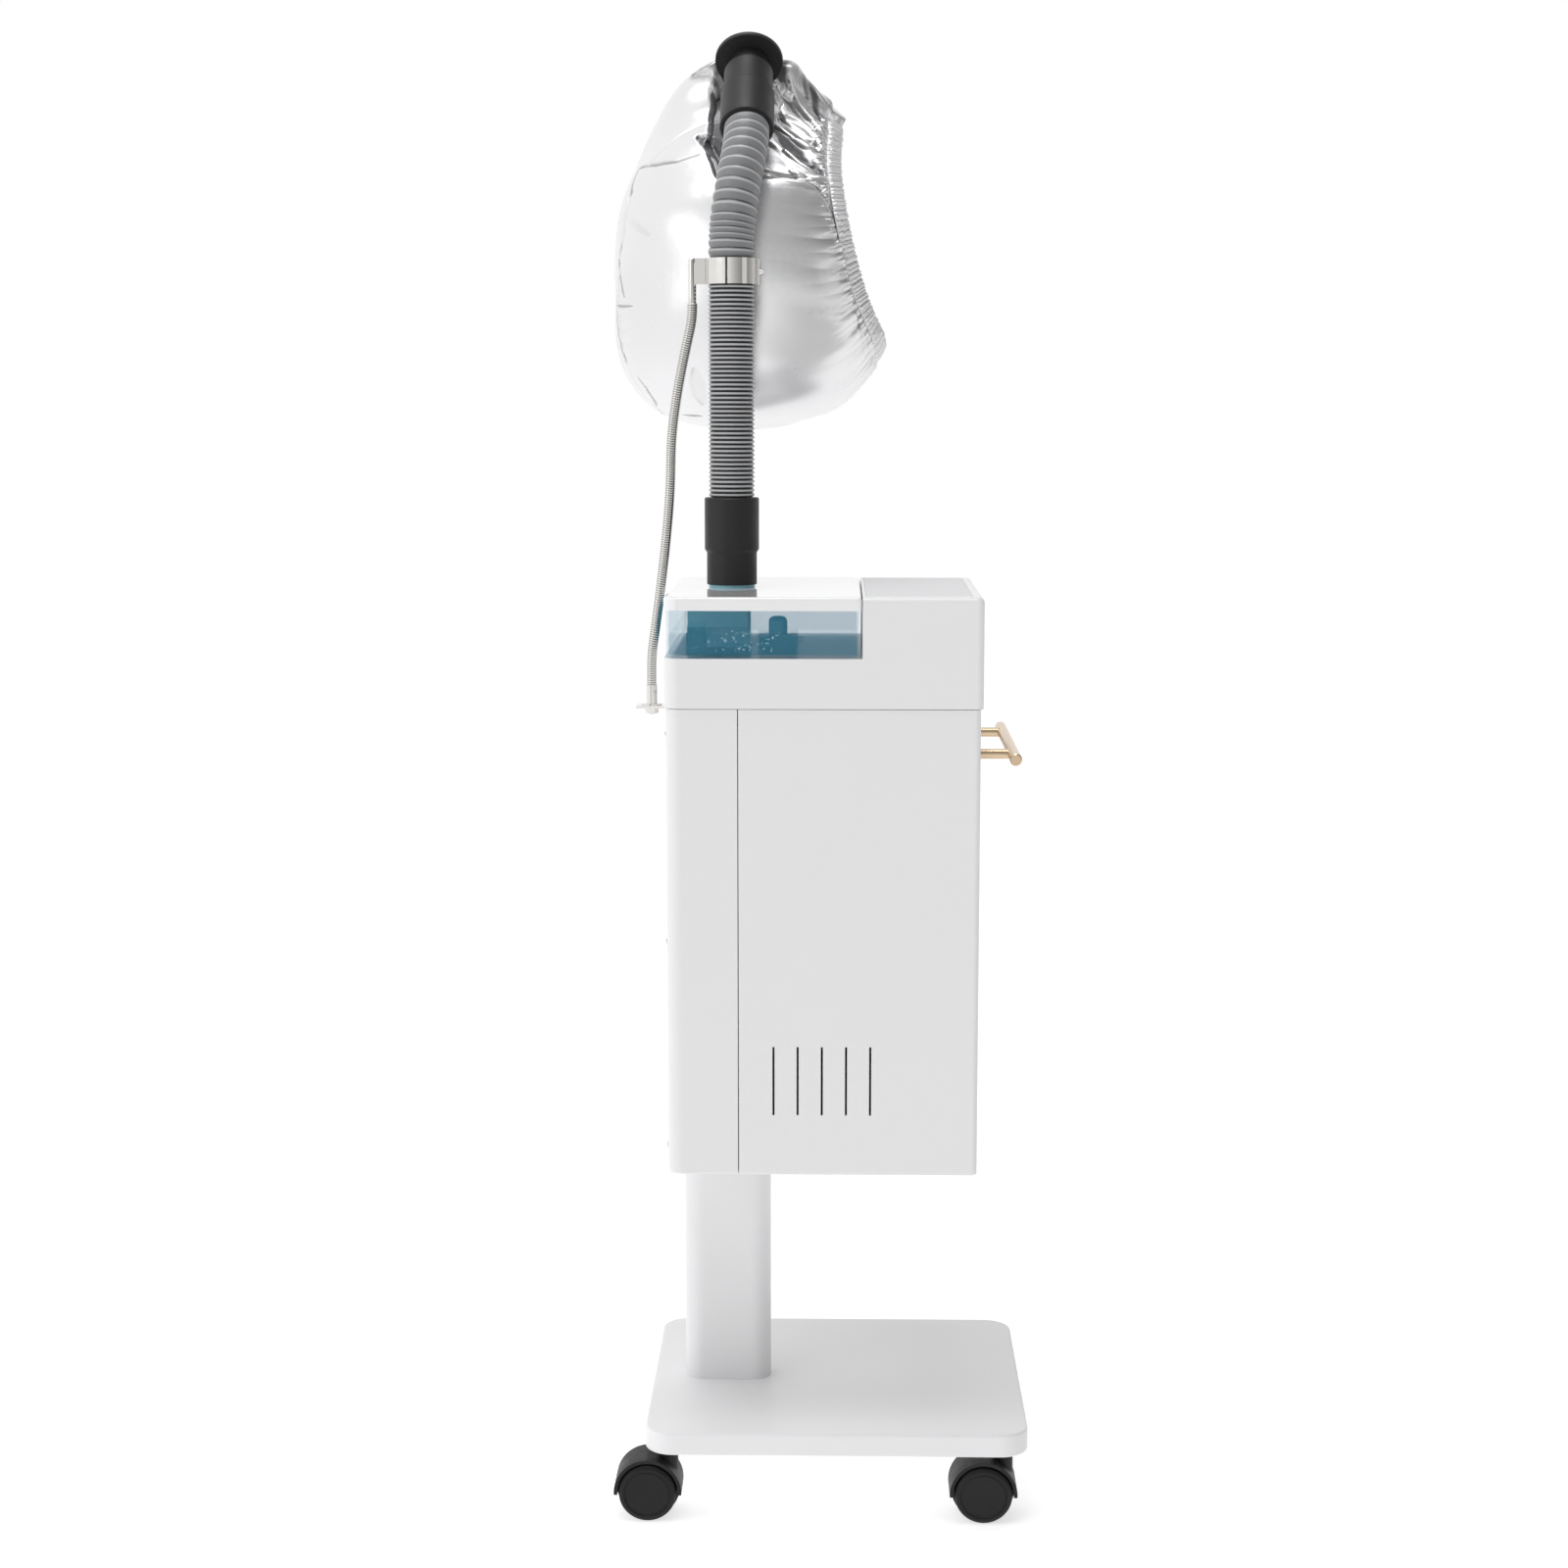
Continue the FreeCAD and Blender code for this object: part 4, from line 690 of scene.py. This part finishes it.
def distance_below(points, line):
    """Signed distance in X and Z from a line that runs towards +X, positive below it."""
    flat = points[..., [0, 2]]
    best = np.full(flat.shape[:-1], 1e9)
    sign = np.ones_like(best)
    for a, b in zip(line[:-1], line[1:]):
        d = b - a
        t = np.clip(((flat - a) @ d) / (d @ d), 0, 1)
        gap = flat - a - t[..., None] * d
        far = np.linalg.norm(gap, axis=-1)
        side = np.where(d[0] * gap[..., 1] - d[1] * gap[..., 0] < 0, 1.0, -1.0)
        closer = far < best
        best, sign = np.where(closer, far, best), np.where(closer, side, sign)
    return best * sign


def gathers(around, beyond):
    """Lift and painted shade of the puckers that run in from the elastic hem."""
    slide = around + 1.6 * wander(around, 31, 11) + 0.5 * wander(around * 0.6 + beyond * 2.2, 24, 12)
    fine = np.abs(np.sin(math.pi * slide / 4.1)) ** 0.8
    middle = np.abs(np.sin(math.pi * (around + 3 * wander(around, 60, 13) + 0.15 * beyond) / 9.7)) ** 0.8
    broad = np.abs(np.sin(math.pi * (around + 7 * wander(around, 110, 14) + 0.3 * beyond) / 23.0))
    reach = (0.65 + 0.35 * wander(around, 70, 15)) * np.exp(-beyond / 20)
    near = np.exp(-(beyond / 8) ** 1.5)
    lift = 1.1 * fine * near + 2.1 * middle * np.exp(-beyond / 13)
    lift += 3.4 * (broad - 0.5) * reach * smoothstep(beyond, 0, 8)
    # Painted shade in the valleys between the puckers.
    shade = 0.35 * (1 - fine) ** 2 * near + 0.6 * (1 - middle) ** 3 * np.exp(-beyond / 12)
    return lift, (shade + 0.55 * (1 - broad) ** 4 * reach) * smoothstep(beyond, -2, 4)


def stroke(points, line, width):
    """1 along the middle of a line, falling to 0 at its half width, which thins towards both ends."""
    line = np.array(line, float)
    spots = points if line.shape[1] == 3 else points[..., [0, 2]]
    lengths = np.linalg.norm(np.diff(line, axis=0), axis=1)
    starts = np.concatenate([[0], np.cumsum(lengths)])
    nearest, share = np.full(spots.shape[:-1], 1e9), np.zeros(spots.shape[:-1])
    for a, b, start, length in zip(line[:-1], line[1:], starts, lengths):
        t = np.clip(((spots - a) @ (b - a)) / length ** 2, 0, 1)
        far = np.linalg.norm(spots - a - t[..., None] * (b - a), axis=-1)
        share = np.where(far < nearest, (start + t * length) / starts[-1], share)
        nearest = np.minimum(far, nearest)
    local = width * (0.25 + 0.75 * np.sin(math.pi * np.clip(share, 0.02, 0.98)) ** 0.6)
    return 1 - smoothstep(nearest / local, 0.45, 1.0)


def satin_folds(points):
    """Lift and painted shade of the folds pulled between the flange, the cuff and the rim."""
    near_side = smoothstep(-points[..., 1], -186, -160)
    before_edge = smoothstep(-points[..., 1], -160, -140)
    ragged = points + 0.6 * wander(points @ np.array([0.7, 0.5, 1.0]), 30, 30)[..., None]
    lift, shade = np.zeros(near_side.shape), np.zeros(near_side.shape)
    for rise, dark, width, line in VALLEYS:
        mark = stroke(ragged, line, width)
        lift += rise * mark
        shade = np.maximum(shade, dark * mark)
    # Ridges take the painted shade away, leaving light crests.
    for rise, width, line in RIDGES:
        mark = stroke(ragged, line, width)
        lift += rise * mark
        shade = shade * (1 - 0.95 * mark)
    # The painted shade is kept to the near side of the bag.
    return lift * before_edge, shade * near_side


def seams(points):
    """Lift and painted shade of the sewn seams and the pinches beside them."""
    lift, shade = np.zeros(points.shape[:-1]), np.zeros(points.shape[:-1])
    for depth, dark, width, line in SEAMS:
        mark = stroke(points, line, width)
        lift -= depth * mark
        shade = np.maximum(shade, dark * mark ** 2)
    return lift, shade


def drawn_in(points, away):
    """How the elastic pulls the mouth in: bowed towards the bag, and shorter at both ends."""
    height = ((points - RIM_BOTTOM) @ UP) / np.linalg.norm(RIM_TOP - RIM_BOTTOM)
    bow = -12.0 * np.sin(math.pi * np.clip(height, 0, 1)) ** 0.7
    ends = 10.0 * (1 - smoothstep(height, 0.0, 0.28)) - 12.0 * smoothstep(height, 0.72, 1.0)
    return (bow[..., None] * OUT + ends[..., None] * UP) * np.exp(-(away / 42.0) ** 2)[..., None]


def lobe(points):
    """The full lower part of the bag, whose upper edge rolls over the folds above it."""
    below = distance_below(points, LOBE_EDGE)
    near_side = smoothstep(-points[..., 1], -140, -100)
    along = smoothstep(points[..., 0], -105, -72)
    swell = 4.2 * smoothstep(below, -1.2, 5) * np.exp(-np.maximum(below, 0) / 55)
    dip = -2.6 * np.exp(-np.abs(below + 3) / 7) * (below < 2)
    return (swell + dip) * near_side * along


def flange_pleats(points):
    """Soft pleats where the fabric is gathered onto the flange, with painted shade in their valleys."""
    gap = points - FLANGE_BACK
    level = gap @ CUFF_AXIS
    across = gap - level[..., None] * CUFF_AXIS
    far = np.linalg.norm(gap, axis=-1)
    turn = np.arctan2(across @ np.array([0, CUFF_AXIS[2], -CUFF_AXIS[1]]), across[..., 0])
    waves = np.sin(turn * 13 + 1.8 * np.sin(turn * 3 + 1)) * (0.6 + 0.4 * np.sin(turn * 5))
    reach = smoothstep(far, 30, 40) * np.exp(-np.maximum(far - 40, 0) / 24)
    return 2.2 * waves * reach, 0.5 * smoothstep(-waves, 0.25, 0.9) * reach


def flange_flap(points):
    """The taut edge from the flange to the rim, and the corner of fabric that stands up at its start."""
    gap = np.linalg.norm(points - FLAP_CORNER, axis=-1)
    taut = stroke(points, FLAP_EDGE, 30)
    return 6.0 * np.exp(-(gap / 13) ** 2) + 8.0 * taut


def seam_place(points):
    """Signed distance from the nearer of the two seams beside the back strip."""
    return np.abs(points[..., 1] - SEAM_MIDDLE) - SEAM_APART


def back_seams(points):
    """Lift of the two seams beside the back strip, and of the slight waves beside them."""
    behind = smoothstep(-points[..., 0], 60, 110)
    strip = seam_place(points)
    groove = -0.9 * np.exp(-(strip / 1.7) ** 2)
    return behind * (groove + 0.45 * wander(points[..., 2], 17, 62) * np.exp(-np.abs(strip) / 9))


def without_hole(points, faces):
    """The points and faces left, and which points those are, once the flange's neck is let in."""
    gap = points - FLANGE_BACK
    level = gap @ CUFF_AXIS
    across = np.linalg.norm(gap - level[:, None] * CUFF_AXIS, axis=1)
    open_here = (across < HANGER_RADIUS) & (np.abs(level) < 6)
    faces = [f for f in faces if not any(open_here[i] for i in f)]
    used = np.unique(np.concatenate([np.array(f) for f in faces]))
    renumber = np.full(len(points), -1)
    renumber[used] = np.arange(len(used))
    return points[used], [tuple(int(renumber[i]) for i in f) for f in faces], used


def make_hood():
    """The bag, from the hem to the back, with its folds, gathers, pleats and seams, and painted shade in
    them.
    """
    columns, rows = ((900, 200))
    points, away, around = hood_surface(columns, rows)
    points = points + drawn_in(points, away)
    normal = normals_of(points)
    pucker, pucker_shade = gathers(around, np.maximum(away - HEM_WIDTH, 0))
    fold, fold_shade = satin_folds(points)
    pleat, pleat_shade = flange_pleats(points)
    sewn, sewn_shade = seams(points)
    lift = pucker * smoothstep(away, HEM_WIDTH - 6, HEM_WIDTH) + fold + pleat + sewn + lobe(points)
    slack = 1.3 * wander(points[..., 2] + 0.6 * points[..., 0], 120, 60)
    slack += 0.8 * wander(points[..., 1] * 0.8 + points[..., 2] * 0.5, 75, 61)
    lift += slack * smoothstep(away, 15, 60) + back_seams(points)
    far = np.linalg.norm(points - FLANGE_BACK, axis=-1)
    lift = (lift + flange_flap(points)) * smoothstep(far, 26, 40)
    # Painted shade from the puckers, folds, pleats and seams, stored on the mesh for the fabric's colour.
    shade = np.maximum.reduce([pucker_shade, fold_shade, pleat_shade, sewn_shade])
    shaped = (points + normal * lift[..., None]).reshape(-1, 3)
    faces = grid_faces(rows, columns, True)
    faces.append(tuple((rows - 1) * columns + j for j in range(columns)))
    shaped, faces, used = without_hole(shaped, faces)
    uv = np.stack([around, away], axis=-1).reshape(-1, 2)[used]
    hood = add_mesh("hood_fabric", shaped, faces, "hood", "silver_fabric", uv=uv,
                    shade=shade.ravel()[used])
    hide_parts("hood_shell")
    return hood


def onto_bag(tree, points):
    """The points, moved straight out from the hood's middle until they lie on the bag."""
    moved = []
    for point in points:
        direction = (point - HOOD_MIDDLE) / np.linalg.norm(point - HOOD_MIDDLE)
        spot = outline(tree, HOOD_MIDDLE, direction)
        moved.append(point if spot is None else spot)
    return np.array(moved)


def make_rim():
    """The elastic hem: a flat tube of gathered fabric round the mouth, with painted shade in its gathers.
    """
    columns = 1500
    tree = hood_tree()
    edge = rim_line(tree, np.linspace(0, 2 * math.pi, columns, endpoint=False))
    outward = edge - edge.mean(axis=0)
    outward -= (outward @ OUT)[:, None] * OUT
    outward /= np.linalg.norm(outward, axis=1)[:, None]
    around = np.concatenate([[0], np.cumsum(np.linalg.norm(np.diff(edge, axis=0), axis=1))])
    inner = onto_bag(tree, edge - HEM_WIDTH * OUT)
    width = np.linalg.norm(edge - inner, axis=1)
    along = (edge - inner) / width[:, None]
    up = np.cross(along, np.roll(edge, -1, axis=0) - np.roll(edge, 1, axis=0))
    up /= np.linalg.norm(up, axis=1)[:, None]
    up *= np.sign((up * outward).sum(axis=1))[:, None]
    second = np.abs(np.sin(math.pi * (around + 2 * wander(around, 50, 23)) / 9.3))
    count = 28
    rings, shades = [], []
    for k in range(count):
        turn = 2 * math.pi * k / count
        u, v = math.cos(turn), math.sin(turn)
        place_u = width / 2 * (1 + np.sign(u) * abs(u) ** 0.75)
        slant = 0.9 * wander(around + 30 * u, 26, 21) * u + 0.7 * wander(around + 12 * u, 9, 24)
        slide = around + 1.7 * wander(around, 29, 22) + slant
        fold = np.abs(np.sin(math.pi * slide / 4.0)) ** 0.7
        height = 1.5 * np.sign(v) * abs(v) ** (0.6 if u > 0 else 1.5)
        ruffle = (1.5 * fold + 0.9 * second - 1.1) * (0.15 + 0.85 * abs(v)) * (1 if v >= 0 else -0.4)
        frill = (1.5 * fold + 1.0 * second - 1.6) * max(0.0, u) ** 3
        ring = inner + along * (place_u + frill)[:, None] + up * (height + ruffle)[:, None]
        rings.append(ring + drawn_in(ring, width - place_u))
        # Painted shade in the valleys of the gathers.
        shades.append((0.6 * (1 - fold) ** 2 + 0.25 * (1 - second) ** 3) * smoothstep(u, -1.0, -0.75))
    points = np.array(rings)
    faces = [tuple(i % (count * columns) for i in f) for f in grid_faces(count + 1, columns, True)]
    uv = np.stack([np.tile(around, count), np.repeat(np.arange(count) * 1.3, columns)], axis=-1)
    rim = add_mesh("hood_elastic_hem", points.reshape(-1, 3), faces, "hood", "rim_fabric", uv=uv,
                   shade=np.array(shades))
    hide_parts("hood_rim")
    return rim


# ------------------------------------------------------------------------------------------
# Stage
# ------------------------------------------------------------------------------------------
def make_stage():
    """A plain pale floor."""
    mesh = bpy.data.meshes.new("floor")
    mesh.from_pydata([(-12, -12, 0), (12, -12, 0), (12, 12, 0), (-12, 12, 0)], [], [(0, 1, 2, 3)])
    mesh.materials.append(surface("floor", (0.62, 0.62, 0.62), 0.7, vary=0.005, smudge=0.02, grain=300.0,
                                  depth=1e-5, Emission_Strength=0.62))
    floor = bpy.data.objects.new("floor", mesh)
    bpy.context.scene.collection.objects.link(floor)


def make_card(name, corners, color):
    """A card that only shows as a darker patch in glossy surfaces."""
    mesh = bpy.data.meshes.new(name)
    mesh.from_pydata(corners, [], [(0, 1, 2, 3)])
    mesh.materials.append(surface(name, color, 0.8, vary=0.05))
    card = bpy.data.objects.new(name, mesh)
    bpy.context.scene.collection.objects.link(card)
    card.visible_camera = card.visible_diffuse = card.visible_shadow = False


def make_world():
    """A white room, brightest low on the left and darkest high on the right."""
    world = bpy.data.worlds.new("room")
    bpy.context.scene.world = world
    world.use_nodes = True
    tree = world.node_tree
    coords = add(tree, "TexCoord")
    lean = add(tree, "VectorMath", operation="DOT_PRODUCT")
    tree.links.new(coords.outputs["Generated"], lean.inputs[0])
    lean.inputs[1].default_value = (-0.75, 0.35, -0.65)
    sky = tree.nodes["Background"]
    tree.links.new(remap(tree, lean.outputs["Value"], 0.2, 1.0, -0.95, -0.12), sky.inputs["Strength"])
    sky.inputs["Color"].default_value = (1, 1, 1, 1)


def area_light(name, at, target, size, power):
    """A square lamp that faces a point."""
    data = bpy.data.lights.new(name, "AREA")
    data.size, data.energy = size, power
    lamp = bpy.data.objects.new(name, data)
    lamp.location = at
    lamp.rotation_mode = "QUATERNION"
    lamp.rotation_quaternion = (Vector(target) - Vector(at)).to_track_quat("-Z", "Y")
    bpy.context.scene.collection.objects.link(lamp)


def make_camera():
    """The camera, at about chest height, looking slightly down."""
    data = bpy.data.cameras.new("camera")
    data.lens, data.sensor_width = 63.6, 36.0
    camera = bpy.data.objects.new("camera", data)
    camera.location = (0.0015, -2.4420, 0.9719)
    camera.rotation_mode = "QUATERNION"
    camera.rotation_quaternion = Vector((-0.02014, 0.98999, -0.13972)).to_track_quat("-Z", "Y")
    bpy.context.scene.collection.objects.link(camera)
    bpy.context.scene.camera = camera


dress_nodes()
make_hose()
make_gooseneck()
make_water()
make_droplets()
hood = make_hood()
rim = make_rim()
make_stage()
make_card("dark_card", [(-0.88, -1.70, 0.3), (-0.58, -1.84, 0.3), (-0.58, -1.84, 2.3), (-0.88, -1.70, 2.3)],
          (0.01, 0.01, 0.01))
make_card("grey_card", [(0.25, -4.0, 0.02), (3.2, -4.0, 0.02), (3.2, -0.2, 0.02), (0.6, -0.2, 0.02)],
          (0.72, 0.72, 0.72))
make_world()
area_light("top", (-0.3, -0.3, 3.2), (0, 0, 0.6), 1.4, 26)
area_light("left", (-2.2, -1.6, 1.9), (0, 0, 0.8), 1.4, 5)
area_light("right", (2.4, -1.2, 1.6), (0, 0, 0.8), 1.2, 2)
make_camera()
bpy.context.scene.view_settings.view_transform = "Standard"
